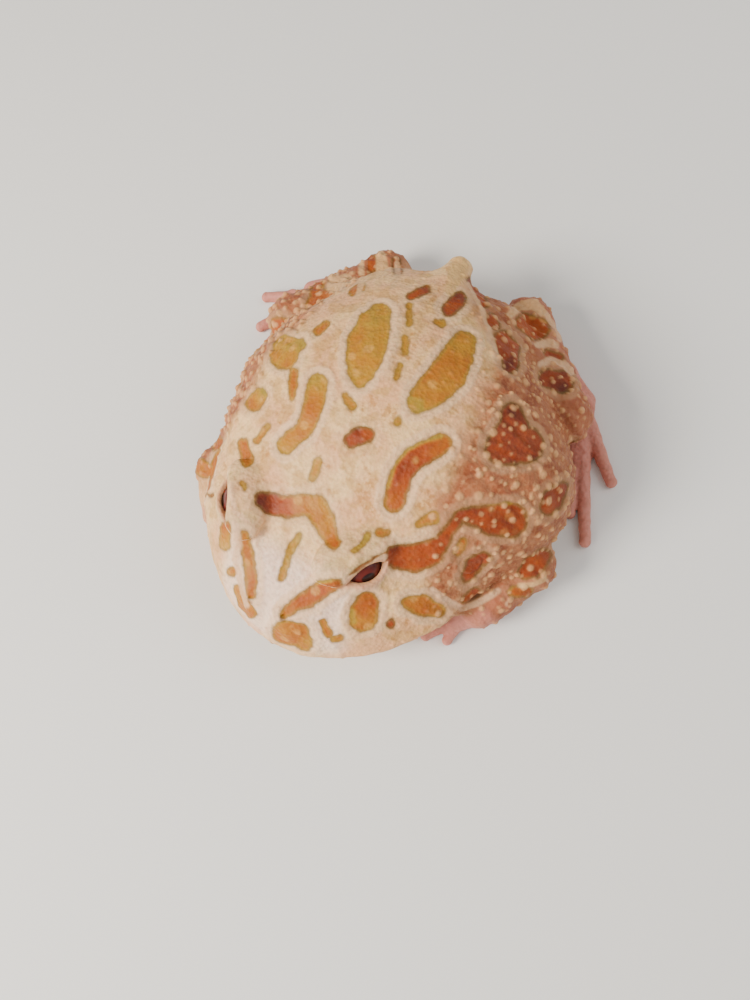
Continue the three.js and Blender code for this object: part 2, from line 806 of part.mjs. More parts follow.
const eyes = {};
const ears = {};
for (const [name, pose] of Object.entries(LIMBS)) {
  const { side, shoulder, elbow, wrist, palm, hip, knee, heel, sole } = pose;
  const inside = 1; // how far each limb's sleeve stands off its flesh

  const armSleeve = sleeve(shoulder, elbow, UPPER_ARM, inside);
  const armRoom = sleeve(shoulder, elbow, UPPER_ARM, inside + GAP);
  const upperArm = meshed(skin, ...around([shoulder, elbow], 9), CELLS.upper_arm);
  solids["upper_arm_" + name] = upperArm.intersect(armSleeve);

  const forearmRoom = sleeve(elbow, wrist, FOREARM, GAP + 0.1);
  const forearmForm = (x, y, z) => limb(x, y, z, elbow, wrist, FOREARM);
  const forearm = meshed(forearmForm, ...around([elbow, wrist], 8), CELLS.forearm);
  solids["forearm_" + name] = forearm.subtract(armRoom);

  const tips = pose.fingers;
  const hand = meshed(handForm(pose), ...around([wrist, palm, ...tips], 4), CELLS.hand);
  solids["hand_" + name] = hand.subtract(forearmRoom);

  const shankSleeve = sleeve(knee, heel, SHANK, inside);
  const shankRoom = sleeve(knee, heel, SHANK, inside + GAP);
  const shank = meshed(skin, ...around([knee, heel], 9), CELLS.shank);
  const ankle = sleeve(heel, mix(heel, knee, 0.02), [SHANK[1], SHANK[1]], 0);
  const ankleRoom = sleeve(heel, mix(heel, knee, 0.02), [SHANK[1], SHANK[1]], GAP);
  const tarsusRoom = sleeve(heel, sole, TARSUS, GAP).subtract(ankle);
  solids["shank_" + name] = shank.intersect(shankSleeve).subtract(tarsusRoom);

  const thighSleeve = sleeve(hip, knee, THIGH, inside);
  const thighRoom = sleeve(hip, knee, THIGH, inside + GAP);
  const thigh = meshed(skin, ...around([hip, knee], 11), CELLS.thigh);
  solids["thigh_" + name] = thigh.intersect(thighSleeve).subtract(shankRoom);

  const toes = around([heel, sole, ...pose.toes], 6);
  const foot = meshed(footForm(pose), ...toes, CELLS.foot);
  solids["foot_" + name] = foot.subtract(ankleRoom);

  const eye = { centre: eyeCentre(side), way: eyeWay(side) };
  eyes[name] = eye;
  const lidCentre = eye.centre.clone().add(new THREE.Vector3(side * 0.4, 0.3, 1.6));
  const lidBox = around([lidCentre.toArray()], 11);
  const upright = new THREE.Vector3(0, 0, 1);
  const lidSleeve = solidOf(ball(lidCentre, upright, 7.9, 8.6, 14));
  const lidRoom = solidOf(ball(lidCentre, upright, 7.9 + GAP, 8.6 + GAP, 14));
  const socket = ball(eye.centre, eye.way, EYE_RADIUS + GAP, EYE_RADIUS + GAP, 16);
  solids["eyelids_" + name] = meshed(skin, ...lidBox, CELLS.eyelids)
    .intersect(lidSleeve)
    .subtract(solidOf(socket))
    .subtract(lidSlit(side));
  head = head.subtract(lidRoom);

  const earWay = new THREE.Vector3(side * 0.9, 0, 0.44).normalize();
  const earInside = new THREE.Vector3(side * 18, -10.5, 14);
  const ear = { centre: skinPoint(earInside, earWay), way: earWay };
  ears[name] = ear;
  const pit = ball(ear.centre, ear.way, EAR_RADIUS + GAP, EAR_DEPTH + GAP, 12);
  head = head.subtract(solidOf(pit));

  const noseInside = new THREE.Vector3(
    NOSTRIL_MIDDLE + side * NOSTRIL_X,
    NOSTRIL_Y + 3,
    NOSTRIL_Z - 3,
  );
  const noseWay = new THREE.Vector3(side * 0.25, -0.6, 0.75).normalize();
  const nose = skinPoint(noseInside, noseWay);
  const nostril = ball(nose, noseWay, NOSTRIL_RADIUS, NOSTRIL_RADIUS, 10);
  head = head.subtract(solidOf(nostril));

  const palmRoom = sleeve(wrist, palm, PALM, GAP);
  head = head.subtract(armRoom).subtract(forearmRoom);
  jaw = jaw.subtract(armRoom).subtract(forearmRoom).subtract(palmRoom);
  torso = torso.subtract(armRoom).subtract(forearmRoom);
  torso = torso.subtract(shankRoom).subtract(thighRoom);
}
solids.head = head;
solids.lower_jaw = jaw;
solids.torso = torso;

// The frog

const frog = new THREE.Group();
frog.name = "horned_frog";

function addMesh(name, geometry, color, roughness) {
  const material = new THREE.MeshStandardMaterial({ color, roughness, metalness: 0 });
  const mesh = new THREE.Mesh(geometry, material);
  mesh.name = name;
  frog.add(mesh);
}

for (const [name, solid] of Object.entries(solids)) {
  let color = CREAM;
  if (name.startsWith("hand") || name.startsWith("foot")) color = PALE_PINK;
  if (name.startsWith("eyelids")) color = LID_CREAM;
  addMesh(name, geometryOf(cleaned(largest(solid))), color, 0.5);
}
for (const name of Object.keys(LIMBS)) {
  const eye = eyes[name];
  const eyeball = ball(eye.centre, eye.way, EYE_RADIUS, EYE_RADIUS, 16);
  addMesh("eye_" + name, eyeball, RUBY, 0.1);
  const ear = ears[name];
  const drum = ball(ear.centre, ear.way, EAR_RADIUS, EAR_DEPTH, 12);
  addMesh("tympanum_" + name, drum, EAR_CREAM, 0.5);
}

export default frog;
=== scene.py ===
"""Argentine horned frog, life size, sitting flat on a pale floor.

The frog looks along -Y and its left side is +X. The skin is one closed surface
drawn from a smooth field of distances in millimetres, with its warts, rims and
creases as real relief. The blotches are named chains of discs, each placed by its
pixels in the photograph and laid on the skin that carries it.
"""

import math

import bpy
import numpy as np
from mathutils import Matrix, Vector, kdtree


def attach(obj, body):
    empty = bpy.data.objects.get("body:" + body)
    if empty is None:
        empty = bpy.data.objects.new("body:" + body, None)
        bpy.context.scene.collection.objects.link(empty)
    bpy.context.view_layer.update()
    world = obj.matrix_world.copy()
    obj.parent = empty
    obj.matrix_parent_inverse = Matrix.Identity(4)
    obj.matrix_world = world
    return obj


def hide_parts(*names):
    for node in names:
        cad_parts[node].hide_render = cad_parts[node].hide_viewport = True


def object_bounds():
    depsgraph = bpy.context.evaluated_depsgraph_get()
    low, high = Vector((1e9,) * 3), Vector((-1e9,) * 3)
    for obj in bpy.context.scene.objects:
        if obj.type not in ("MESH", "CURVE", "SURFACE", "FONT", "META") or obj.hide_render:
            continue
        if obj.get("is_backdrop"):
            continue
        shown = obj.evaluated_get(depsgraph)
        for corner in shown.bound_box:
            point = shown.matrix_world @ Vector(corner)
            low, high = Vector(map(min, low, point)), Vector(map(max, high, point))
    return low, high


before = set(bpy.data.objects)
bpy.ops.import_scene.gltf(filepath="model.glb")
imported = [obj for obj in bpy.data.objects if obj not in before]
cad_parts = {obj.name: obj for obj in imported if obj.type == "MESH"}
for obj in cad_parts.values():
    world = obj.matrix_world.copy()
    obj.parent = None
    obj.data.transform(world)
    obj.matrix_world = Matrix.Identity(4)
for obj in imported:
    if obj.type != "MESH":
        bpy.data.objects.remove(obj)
cad_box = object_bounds()

MM = 0.001
SEED = 7
SIDES = {"left": 1, "right": -1}

# Grid of the skin
CELL = 0.28
COARSE = 4  # fine cells to a coarse one
REACH = 3.6  # how far from the skin the fine grid is filled in
LOW = np.array([-56.0, -48.0, -1.0])
HIGH = np.array([56.0, 62.0, 39.0])

# The line of the back, which bows a little to the frog's left
HEAD_LEAN = 0.6
HEAD_TILT = -2.8
SNOUT_LEAN = 0.3
BACK_LEAN = 2.6
BACK_LEAN_Y = 9.0
BACK_LEAN_SPAN = 21.0
RUMP_LEAN = -3.7

# Trunk
TRUNK_HALF_WIDTH = 38.9
TRUNK_HALF_LENGTH = 34.0
TRUNK_Y = 9.0
TRUNK_Z = 12.0
REAR_TAPER = 0.12
BACK_HEIGHT = 35.0
BELLY_DEPTH = 16.0
RUMP_HALF_WIDTH = 23.0
RUMP_HALF_LENGTH = 20.5
RUMP_Y = 26.5
RUMP_HEIGHT = 27.0
VENT_Y = 47.7
VENT_Z = 18.6
VENT_RADIUS = 2.9
VENT_ROOT_RADIUS = 6.5
VENT_ROOT_BACK = 10.0

# Head
HEAD_HALF_WIDTH = 30.5
HEAD_HALF_LENGTH = 28.6
HEAD_Y = -13.0
HEAD_Z = 11.0
HEAD_HEIGHT = 27.0
SNOUT_TAPER = 0.14
THROAT_HEIGHT = 1.0
NECK_Y = -5.0
MOUTH_FRONT_Z = 9.2
MOUTH_CORNER_Z = 11.5
LIP_ROLL = 0.8
MOUTH_DEPTH = 0.75
MOUTH_WIDTH = 0.42
CANTHUS_RADIUS = 4.0  # of the ridge from the eye to the nostril
EYE_SWELL = (7.6, 9, 6.8)
EYE_SWELL_OFFSET = (-2.2, 1.5, -3.2)
NOSTRIL_SWELL = (2.1, 2.1, 1.6)
NOSTRIL_MIDDLE = -0.6
NOSTRIL_X = 3.3
NOSTRIL_Y = -35.8
NOSTRIL_Z = 19.0
NOSTRIL_RADIUS = 0.9

# Eyes, lids and ears
EYE_RADIUS = 4.3
SOCKET_GAP = 0.06
EYE_MIDDLE = -2.05
EYE_X = 13.95
EYE_Y = -20.7
EYE_Z = 22.9
EYE_WAY = (0.75, -0.46, 0.48)  # of the left eye
LID_THICKNESS = 1.1
LID_OPENING_LENGTH = 9.0
LID_OPENING_HEIGHT = 2.9
LID_OPENING_RISE = 0.85  # above the eye's middle
LID_OPENING_SKEW = 0.5  # how much wider it is towards the rear
LID_FACE = 3.85  # the upper lid's flat face, ahead of the eye's middle
LID_FACE_FLAT = 3.5  # how far it stays flat to each side
LID_FACE_CURVE = 0.14
BROW_LENGTH = 17.0
BROW_WIDTH = 10.0
BROW_THICKNESS = 4.6
BROW_TURN = 0.64
BROW_INWARD = 1.2
BROW_RISE = 3.7
HORN_HEIGHT = 1.3
HORN_RADIUS = 2.3
HORN_TIP_RADIUS = 0.9
EAR_RADIUS = 2.5
EAR_Y = -10.5

# Limb thicknesses, as radii
THIGH = (9.2, 5.8)
SHANK = (5.8, 6.0)
TARSUS = (4.0, 3.2)
UPPER_ARM = (7.5, 5.4)
FOREARM = (5.5, 4.4)
PALM = (4.0, 3.0)
FINGER = (1.75, 1.15)
TOE = (2.2, 1.3)
BONES = (
    ("shoulder", "elbow", UPPER_ARM),
    ("elbow", "wrist", FOREARM),
    ("hip", "knee", THIGH),
    ("knee", "heel", SHANK),
)
DIGIT_BEND = 0.45
WEB_THICKNESS = 1.1
WEB_REACH = 0.55

# Widths over which one form flows into the next
RUMP_FLOW = 6
HEAD_FLOW = 5
BROW_FLOW = 3
VENT_FLOW = 2
LID_FLOW = 1.2
ARM_FLOW = 3.6
ELBOW_FLOW = 1.5
LEG_FLOW = 2.4
KNEE_FLOW = 1.6
FOOT_FLOW = 0.8

LIMBS = {
    "left": {
        "shoulder": (25, -1, 10),
        "elbow": (39.1, -2.8, 6.8),
        "wrist": (34.2, -14.6, 5),
        "palm": (31.2, -18.4, 3),
        "fingers": ((31.1, -23.7), (26.6, -25), (22.4, -22), (24.6, -16.6)),
        "hip": (10, 37.6, 12),
        "knee": (31.4, 29, 11),
        "heel": (13.5, 48, 7),
        "sole": (32.8, 37.2, 3),
        "toes": ((31.5, 25.5), (36.5, 18.5), (41.5, 13.4), (47.2, 9.2), (46.4, 23.9)),
    },
    "right": {
        "shoulder": (-25, -4, 10),
        "elbow": (-31.8, -14.6, 6.4),
        "wrist": (-27.4, -22.6, 4.4),
        "palm": (-24, -26.6, 2.7),
        "fingers": ((-18.6, -31), (-14.8, -27.8), (-15.2, -23.4), (-19.6, -20.8)),
        "hip": (-14, 36, 11),
        "knee": (-34, 24, 10.5),
        "heel": (-22, 45.8, 6),
        "sole": (-37.5, 35.5, 3),
        "toes": ((-34, 24.5), (-38.6, 20), (-42, 18), (-46.2, 22.6), (-49.3, 30.4)),
    },
}

# Where the red brown flank begins, across the body from the line of the back. On the right it begins
# further out, painted light that keeps the lit right side paler.
FLANK_EDGE_Y = [-24, -14, -4, 6, 16, 26, 36, 44]
FLANK_EDGE_ACROSS = [27, 22, 17.5, 17.5, 16.5, 15, 9, 4]
# How much further out the right flank begins: painted light on the lit right side
RIGHT_FLANK_LIT_OFFSET = 12.0

# The camera at the photograph's angle
PHOTO_WIDTH = 750
PHOTO_HEIGHT = 1000
CAMERA_TARGET = Vector((1.52, -3.34, 0.0))
CAMERA_DISTANCE = 183.09
CAMERA_AZIMUTH = math.radians(53.02)
CAMERA_ELEVATION = math.radians(70.87)
CAMERA_ROLL = math.radians(-24.55)
CAMERA_LENS = 28.8
CAMERA_SENSOR = 36.0

# Blotches as seen in the photograph: strength of the pale rim, then a chain of
# discs, each pixel x, pixel y, radius in pixels and tone. The tones run from 0,
# yellow olive, over 0.3 ochre and 0.6 orange to 1, dark red brown.
BLOTCHES = {
    "oval_right": (1.0, [(380, 314, 11.5, 0.22), (373, 327, 17.5, 0.24), (367, 343, 20.5, 0.3),
        (364, 358, 18.5, 0.28), (361, 371, 14, 0.24), (360, 380, 8, 0.2)]),
    "oval_left": (1.0, [(464, 343, 12.5, 0.3), (457, 358, 17, 0.4), (448, 374, 19, 0.42),
        (436, 387, 17.5, 0.4), (424, 397, 14.5, 0.32), (418, 403, 11, 0.15)]),
    "hook_right": (1.0, [(318, 383, 10, 0.2), (315, 400, 10.5, 0.4), (311, 415, 9.5, 0.5),
        (303, 430, 9.5, 0.42), (292, 438, 9.5, 0.36), (286, 445, 9.5, 0.34)]),
    "hook_left": (1.0, [(441, 444, 11, 0.6), (428, 451, 12.5, 0.72), (412, 460, 12.5, 0.82),
        (401, 475, 12, 0.84), (397, 490, 12, 0.74), (394, 502, 11, 0.58)]),
    "dot": (0.3, [(352, 440, 8.5, 0.84), (359, 436, 9.5, 0.92), (367, 435, 8.5, 0.74)]),
    "patch_right": (0.8, [(284, 356, 14, 0.36), (286, 348, 13, 0.22), (300, 344, 6, 0.1)]),
    "tail_right": (0.0, [(294, 372, 5, 0.5), (293, 385, 5, 0.55), (292, 398, 3, 0.5)]),
    "small_right": (0.6, [(254, 403, 9, 0.48), (260, 394, 7, 0.2)]),
    "bit_right": (0.1, [(318, 331, 5, 0.5), (326, 324, 4, 0.45)]),
    "streak_right": (0.0, [(268, 426, 3, 0.42), (257, 441, 3.5, 0.45)]),
    "cheek_right": (0.2, [(243, 444, 6, 0.5), (247, 460, 7, 0.5)]),
    "brow_bar": (0.5, [(262, 499, 8.5, 0.9), (273, 504, 12, 0.86), (287, 507, 11.5, 0.68),
        (303, 504, 11, 0.44), (316, 507, 12.5, 0.36), (323, 519, 11.5, 0.36), (328, 532, 9.5, 0.42),
        (334, 543, 7, 0.55)]),
    "snout_streak": (0.0, [(300, 535, 3, 0.25), (293, 545, 4.5, 0.25), (287, 560, 4, 0.22),
        (282, 578, 4, 0.35)]),
    "bar_right": (0.7, [(244, 536, 5.5, 0.5), (248, 555, 6.5, 0.42), (251, 575, 7, 0.5),
        (251, 594, 5.5, 0.5)]),
    "lip_right": (0.3, [(226, 526, 5, 0.55), (225, 545, 6, 0.2)]),
    "lip_right_low": (0.1, [(237, 588, 4, 0.3), (243, 603, 6, 0.4), (252, 614, 5, 0.5)]),
    "lip_right_bit": (0.0, [(231, 572, 5, 0.5)]),
    "stripe_left": (0.8, [(338, 584, 5.5, 0.62), (322, 589, 9.5, 0.66), (308, 599, 9.5, 0.62),
        (294, 606, 7, 0.56), (284, 614, 5, 0.5)]),
    "snout_left": (0.6, [(284, 632, 12, 0.42), (298, 634, 12, 0.5), (305, 643, 8, 0.36)]),
    "bits_left": (0.0, [(323, 622, 4, 0.5), (328, 633, 5, 0.5)]),
    "bits_left_low": (0.0, [(333, 640, 3, 0.3), (340, 638, 4, 0.42)]),
    "lip_left": (1.0, [(367, 604, 12.5, 0.6), (363, 617, 15, 0.48)]),
    "lip_left_far": (1.0, [(408, 603, 7, 0.5), (424, 606, 11.5, 0.55), (438, 610, 7.5, 0.45)]),
    "lip_left_bit": (0.4, [(391, 624, 5, 0.8)]),
    "cheek_left": (0.9, [(398, 557, 13, 0.8), (415, 558, 15, 0.7), (430, 553, 14, 0.74),
        (441, 543, 9, 0.8), (450, 530, 6, 0.85), (461, 516, 7, 0.88), (475, 516, 11, 0.86),
        (492, 520, 16, 0.78), (510, 520, 18, 0.8)]),
    "flank_pear": (1.0, [(512, 414, 12, 0.9), (513, 430, 17, 0.88), (504, 447, 19, 0.84),
        (525, 445, 19, 0.86)]),
    "flank_rear": (1.0, [(502, 338, 9, 0.74), (509, 350, 11.5, 0.8), (511, 364, 9, 0.9)]),
    "flank_rear_up": (0.2, [(490, 318, 5, 0.8), (496, 326, 5, 0.8)]),
    "flank_low": (0.8, [(548, 378, 10, 0.86), (562, 382, 12, 0.9)]),
    "flank_front": (0.7, [(562, 488, 7, 0.86), (553, 499, 12, 0.86), (547, 508, 8, 0.84)]),
    "arm_right_patch": (0.1, [(199, 464, 7, 0.5), (206, 471, 8, 0.5)]),
    "arm_right_stripe": (0.0, [(195, 497, 1.6, 0.7), (205, 496, 2.2, 0.7), (213, 495, 1.5, 0.66)]),
    "arm_right_bit": (0.0, [(216, 447, 4.5, 0.58), (219, 440, 3.5, 0.58)]),
    "shoulder_patch": (0.2, [(543, 556, 8, 0.8), (534, 566, 12, 0.8), (524, 573, 7, 0.78)]),
    "neck_tilted": (1.0, [(484, 558, 7, 0.84), (474, 567, 9, 0.84), (466, 578, 5.5, 0.84)]),
    "neck_bit": (0.4, [(463, 543, 5, 0.62), (458, 553, 4.5, 0.66)]),
    "jaw_bit": (0.2, [(464, 600, 3.5, 0.8), (476, 592, 5.5, 0.82)]),
    "rump_left": (0.8, [(458, 300, 8.5, 0.86), (450, 308, 8.5, 0.8)]),
    "rump_right": (0.3, [(411, 296, 4.5, 0.75), (426, 289, 5, 0.78)]),
    "rump_streak": (0.0, [(409, 306, 3.5, 0.38), (409, 323, 3.5, 0.3)]),
    "rump_bit": (0.0, [(436, 322, 3, 0.45), (442, 323, 4.5, 0.3)]),
    "leg_left_band": (0.5, [(524, 322, 9, 0.72), (538, 328, 12, 0.74)]),
    "leg_left_low": (0.2, [(548, 353, 4.5, 0.75), (560, 358, 4, 0.75)]),
    "leg_right_band": (0.3, [(318, 285, 7, 0.66), (316, 298, 8, 0.66), (310, 306, 5, 0.6)]),
    "leg_right_high": (0.3, [(357, 262, 8, 0.72), (368, 263, 10, 0.74)]),
    "leg_right_fold": (0.0, [(352, 292, 4, 0.5), (361, 287, 4.5, 0.45)]),
    "leg_right_edge": (0.2, [(396, 262, 5, 0.8), (398, 270, 5, 0.8)]),
    "arm_left_band": (0.3, [(514, 592, 6, 0.62), (528, 592, 6, 0.64)]),
    "temple_left": (0.0, [(433, 518, 7, 0.42), (419, 524, 4, 0.42)]),
    "temple_left_bit": (0.0, [(379, 533, 4.5, 0.5), (387, 532, 4, 0.55)]),
    "lid_fold": (0.0, [(349, 575, 0.9, 0.7), (362, 566, 1.5, 0.74), (375, 558, 1.6, 0.74),
        (387, 552, 1.2, 0.7)]),
    "temple_olive": (0.0, [(368, 535, 4, 0.14), (362, 545, 2.8, 0.2), (354, 551, 3.4, 0.26)]),
    "crown_faint": (0.0, [(318, 461, 4.5, 0.3), (313, 478, 4.5, 0.28)]),
    "lid_bit": (0.0, [(242, 483, 3, 0.5), (245, 488, 3, 0.3)]),
    "spine_a": (0.0, [(345, 396, 4, 0.4), (352, 405, 5, 0.34)]),
    "spine_b": (0.0, [(405, 338, 3.5, 0.34), (405, 352, 3.5, 0.3)]),
    "spine_c": (0.0, [(400, 366, 3, 0.32), (396, 378, 3, 0.32)]),
    "spine_d": (0.0, [(398, 422, 4.5, 0.3)]),
    # Dark red brown on the steep rump side beside the vent: its own colour with painted shade
    "vent_side_shade": (0.0, [(470, 281, 4, 0.84), (478, 291, 5.5, 0.86), (484, 304, 4.5, 0.8)]),
}

# Places inside blotches that have a tone of their own
TONE_PATCHES = {
    "hook_left_core": [(434, 452, 6, 0.66), (420, 461, 6.5, 0.72), (408, 476, 6, 0.74),
        (403, 490, 6, 0.7), (398, 500, 5, 0.66)],
    "hook_left_edge": [(440, 436, 3, 0.1), (424, 440, 3.5, 0.14), (408, 448, 3, 0.16),
        (394, 464, 3, 0.16), (388, 486, 3, 0.16)],
    "cheek_edge": [(488, 501, 2.6, 0.1), (500, 500, 3, 0.06), (510, 503, 2.6, 0.1)],
    "flank_rear_core": [(509, 364, 5, 1.0), (513, 359, 4, 0.98)],
    "flank_low_core": [(562, 391, 5, 1.0), (566, 386, 4, 1.0)],
    "pear_core": [(511, 414, 5, 0.98)],
    "hook_right_top": [(318, 378, 5, 0.1), (321, 388, 4, 0.16)],
    "small_right_top": [(263, 391, 4, 0.05)],
    "lip_left_edge": [(352, 612, 3.5, 0.1), (354, 622, 3, 0.16)],
    "lip_left_core": [(366, 607, 6, 0.62), (366, 616, 5, 0.56)],
    "bar_right_low": [(252, 584, 5, 0.55)],
    "stripe_olive": [(330, 580, 3, 0.08), (318, 582, 3, 0.1)],
}

# Pale marks: chains of discs, each pixel x, pixel y and radius, with yellowness
PALE_MARKS = {
    "leg_stripe_outer": (0.6, [(379, 257, 2.6), (380, 271, 2.8), (377, 290, 2.4)]),
    "leg_stripe_middle": (0.5, [(361, 263, 2.0), (362, 280, 2.4), (357, 297, 2.0)]),
    "leg_stripe_inner": (0.4, [(397, 263, 2.0), (398, 276, 2.2), (392, 288, 1.8)]),
    "vent_knob": (0.8, [(460, 267, 9), (454, 279, 7), (450, 291, 4)]),
    "vent_ridge": (0.3, [(468, 284, 1.6), (480, 306, 1.8), (489, 330, 1.8), (496, 352, 1.6)]),
    "haunch_crescent": (0.5, [(510, 315, 3), (519, 306, 4.5), (533, 304, 4.5), (543, 313, 3)]),
    "leg_band_high": (0.3, [(537, 345, 2.4), (548, 343, 3.4), (556, 346, 2.6)]),
    "leg_band_low": (0.2, [(541, 364, 2.4), (552, 359, 3.4), (565, 366, 3), (571, 373, 2.4)]),
    "leg_edge": (0.2, [(545, 313, 1.6), (554, 326, 2), (560, 340, 1.6)]),
    "arm_band": (0.6, [(520, 586, 1.8), (533, 585, 2.2), (545, 579, 2)]),
    "arm_edge": (0.2, [(507, 603, 1.6), (524, 606, 1.8), (538, 596, 1.6), (547, 582, 2)]),
    "cheek_fold": (0.2, [(463, 609, 2.4), (480, 602, 2.8), (498, 591, 2.2)]),
    "jaw_fold": (0.1, [(432, 590, 2), (446, 600, 2.6), (462, 609, 2.4)]),
    "lid_roof_left": (0.1, [(344, 581, 1.6), (358, 574, 2.6), (372, 565, 2.8), (385, 557, 2.2)]),
    "lid_rim_low_left": (0.0, [(360, 589, 1.6), (372, 589, 1.8), (381, 579, 1.6), (386, 570, 1.2)]),
    "lid_edge_right": (0.1, [(231, 483, 1.6), (232, 498, 2), (235, 512, 1.8), (248, 522, 1.6)]),
    "canthus_right": (0.1, [(235, 524, 3), (240, 545, 2), (234, 560, 2.6), (246, 606, 2)]),
    "leg_right_pale_a": (0.5, [(334, 276, 4.5), (332, 288, 5), (346, 280, 6)]),
    "leg_right_pale_b": (0.6, [(381, 256, 4), (384, 268, 4), (383, 277, 3)]),
}

# The largest warts, like pearls: pixel x, pixel y and radius in pixels
PEARLS = [
    (555, 485, 4.2), (540, 495, 3.6), (567, 503, 3.2), (524, 501, 3.6), (531, 512, 3.4),
    (541, 516, 3.4), (551, 528, 3.6), (538, 535, 3.8), (524, 555, 4.2), (510, 557, 4),
    (495, 553, 3), (524, 542, 3), (487, 588, 3), (512, 578, 3), (546, 537, 3),
    (500, 404, 3.6), (492, 410, 3), (478, 389, 3), (484, 372, 2.6), (483, 360, 2.6),
    (537, 383, 3.2), (534, 395, 3), (542, 410, 3), (501, 358, 3), (541, 471, 3.2),
    (530, 468, 2.8), (549, 460, 2.8), (556, 445, 2.8), (560, 428, 2.8), (472, 431, 2.8),
    (470, 448, 2.8), (478, 470, 2.8), (492, 478, 2.8), (505, 484, 2.8), (483, 410, 2.6),
    (520, 402, 2.8), (528, 412, 2.6), (550, 422, 2.6), (480, 341, 2.4), (486, 350, 2.4),
]

# Blotches on the sides that the photograph doesn't show: degrees round the body
# from the top towards the left, y, radius and tone.
HIDDEN_BLOTCHES = {
    "right_flank_a": (1.0, [(-78, 14, 4.6, 0.5), (-86, 17, 5.0, 0.62)]),
    "right_flank_b": (1.0, [(-82, 1, 4.0, 0.66), (-90, 4, 4.2, 0.7)]),
    "right_flank_c": (1.0, [(-80, 29, 4.0, 0.6)]),
    "right_cheek": (1.0, [(-84, -15, 3.2, 0.5), (-80, -20, 3.0, 0.55)]),
    "left_flank_low": (0.8, [(94, 22, 3.4, 0.9), (96, 14, 3.6, 0.88)]),
    "left_flank_fore": (0.8, [(96, 5, 3.0, 0.9)]),
}


# Forms, each a function from places to their distance outside the form


def smooth(edge0, edge1, value):
    t = np.clip((value - edge0) / (edge1 - edge0), 0, 1)
    return t * t * (3 - 2 * t)


def blend(a, b, k):
    h = np.maximum(k - np.abs(a - b), 0) / k
    return np.minimum(a, b) - h * h * (k / 4)


def carve(a, b, k):
    """a without b, rounded over a width k."""
    return -blend(-a, b, k)


def norm(x, y, z):
    return np.sqrt(x * x + y * y + z * z)


def ball(x, y, z, centre, radius):
    return norm(x - centre[0], y - centre[1], z - centre[2]) - radius


def along(x, y, z, origin, axis):
    """How far places lie from an origin, measured along an axis."""
    return (x - origin[0]) * axis[0] + (y - origin[1]) * axis[1] + (z - origin[2]) * axis[2]


def ellipsoid(x, y, z, rx, ry, rz):
    near = norm(x / rx, y / ry, z / rz)
    slope = norm(x / (rx * rx), y / (ry * ry), z / (rz * rz))
    return near * (near - 1) / np.maximum(slope, 1e-6)


def limb(x, y, z, a, b, radii):
    ux, uy, uz = (b[i] - a[i] for i in range(3))
    px, py, pz = x - a[0], y - a[1], z - a[2]
    t = np.clip((px * ux + py * uy + pz * uz) / (ux * ux + uy * uy + uz * uz), 0, 1)
    radius = radii[0] + (radii[1] - radii[0]) * t
    return norm(px - ux * t, py - uy * t, pz - uz * t) - radius


def sheet(x, y, z, corners, thickness):
    """A flat sheet on three corners seen from above, lying on the floor."""
    (ax, ay), (bx, by), (cx, cy) = corners
    turn = math.copysign(1, (bx - ax) * (cy - ay) - (by - ay) * (cx - ax))
    inside = np.ones(x.shape, bool)
    nearest = np.full(x.shape, 1e9, x.dtype)
    for (fx, fy), (tx, ty) in zip(corners, corners[1:] + corners[:1]):
        ux, uy = tx - fx, ty - fy
        px, py = x - fx, y - fy
        t = np.clip((px * ux + py * uy) / (ux * ux + uy * uy), 0, 1)
        nearest = np.minimum(nearest, np.hypot(px - ux * t, py - uy * t))
        inside &= turn * (ux * py - uy * px) >= 0
    flat = np.where(inside, -nearest, nearest)
    return np.maximum(flat, np.abs(z - thickness / 2) - thickness / 2)


def mix(a, b, t):
    return tuple(p + (q - p) * t for p, q in zip(a, b))


def lean(y):
    middle = np.exp(-(((y - BACK_LEAN_Y) / BACK_LEAN_SPAN) ** 2))
    ends = SNOUT_LEAN * smooth(-24, -42, y) + RUMP_LEAN * smooth(18, 50, y)
    return HEAD_LEAN + BACK_LEAN * middle + ends


def trunk(s, y, z):
    down = z < TRUNK_Z
    main_height = np.where(down, BELLY_DEPTH, BACK_HEIGHT - TRUNK_Z)
    w = s * (1 + REAR_TAPER * smooth(8, 38, y))
    main = ellipsoid(w, y - TRUNK_Y, z - TRUNK_Z, TRUNK_HALF_WIDTH, TRUNK_HALF_LENGTH, main_height)
    rump_height = np.where(down, BELLY_DEPTH - 2, RUMP_HEIGHT - TRUNK_Z)
    rump = ellipsoid(s, y - RUMP_Y, z - TRUNK_Z, RUMP_HALF_WIDTH, RUMP_HALF_LENGTH, rump_height)
    root = (0, VENT_Y - VENT_ROOT_BACK, VENT_Z + 0.5)
    vent = limb(s, y, z, root, (0, VENT_Y, VENT_Z), (VENT_ROOT_RADIUS, VENT_RADIUS))
    return blend(blend(main, rump, RUMP_FLOW), vent, VENT_FLOW)


def skull(s, y, z):
    height = np.where(z < HEAD_Z, HEAD_Z - THROAT_HEIGHT, HEAD_HEIGHT - HEAD_Z)
    w = s * (1 + SNOUT_TAPER * smooth(-18, -42, y))
    cheeks = ellipsoid(w, y - HEAD_Y, z - HEAD_Z, HEAD_HALF_WIDTH, HEAD_HALF_LENGTH, height)
    dx, dy, dz = EYE_SWELL_OFFSET
    swell = ellipsoid(s - EYE_X - dx, y - EYE_Y - dy, z - EYE_Z - dz, *EYE_SWELL)
    ridge_back = (EYE_X - 3, EYE_Y - 5, EYE_Z - 1.6)
    ridge_front = (NOSTRIL_X, NOSTRIL_Y, NOSTRIL_Z - 2.4)
    canthus = limb(s, y, z, ridge_back, ridge_front, (CANTHUS_RADIUS, CANTHUS_RADIUS - 1))
    nostril = ellipsoid(s - NOSTRIL_X, y - NOSTRIL_Y, z - NOSTRIL_Z, *NOSTRIL_SWELL)
    return blend(blend(blend(cheeks, swell, BROW_FLOW), canthus, BROW_FLOW), nostril, 1.4)


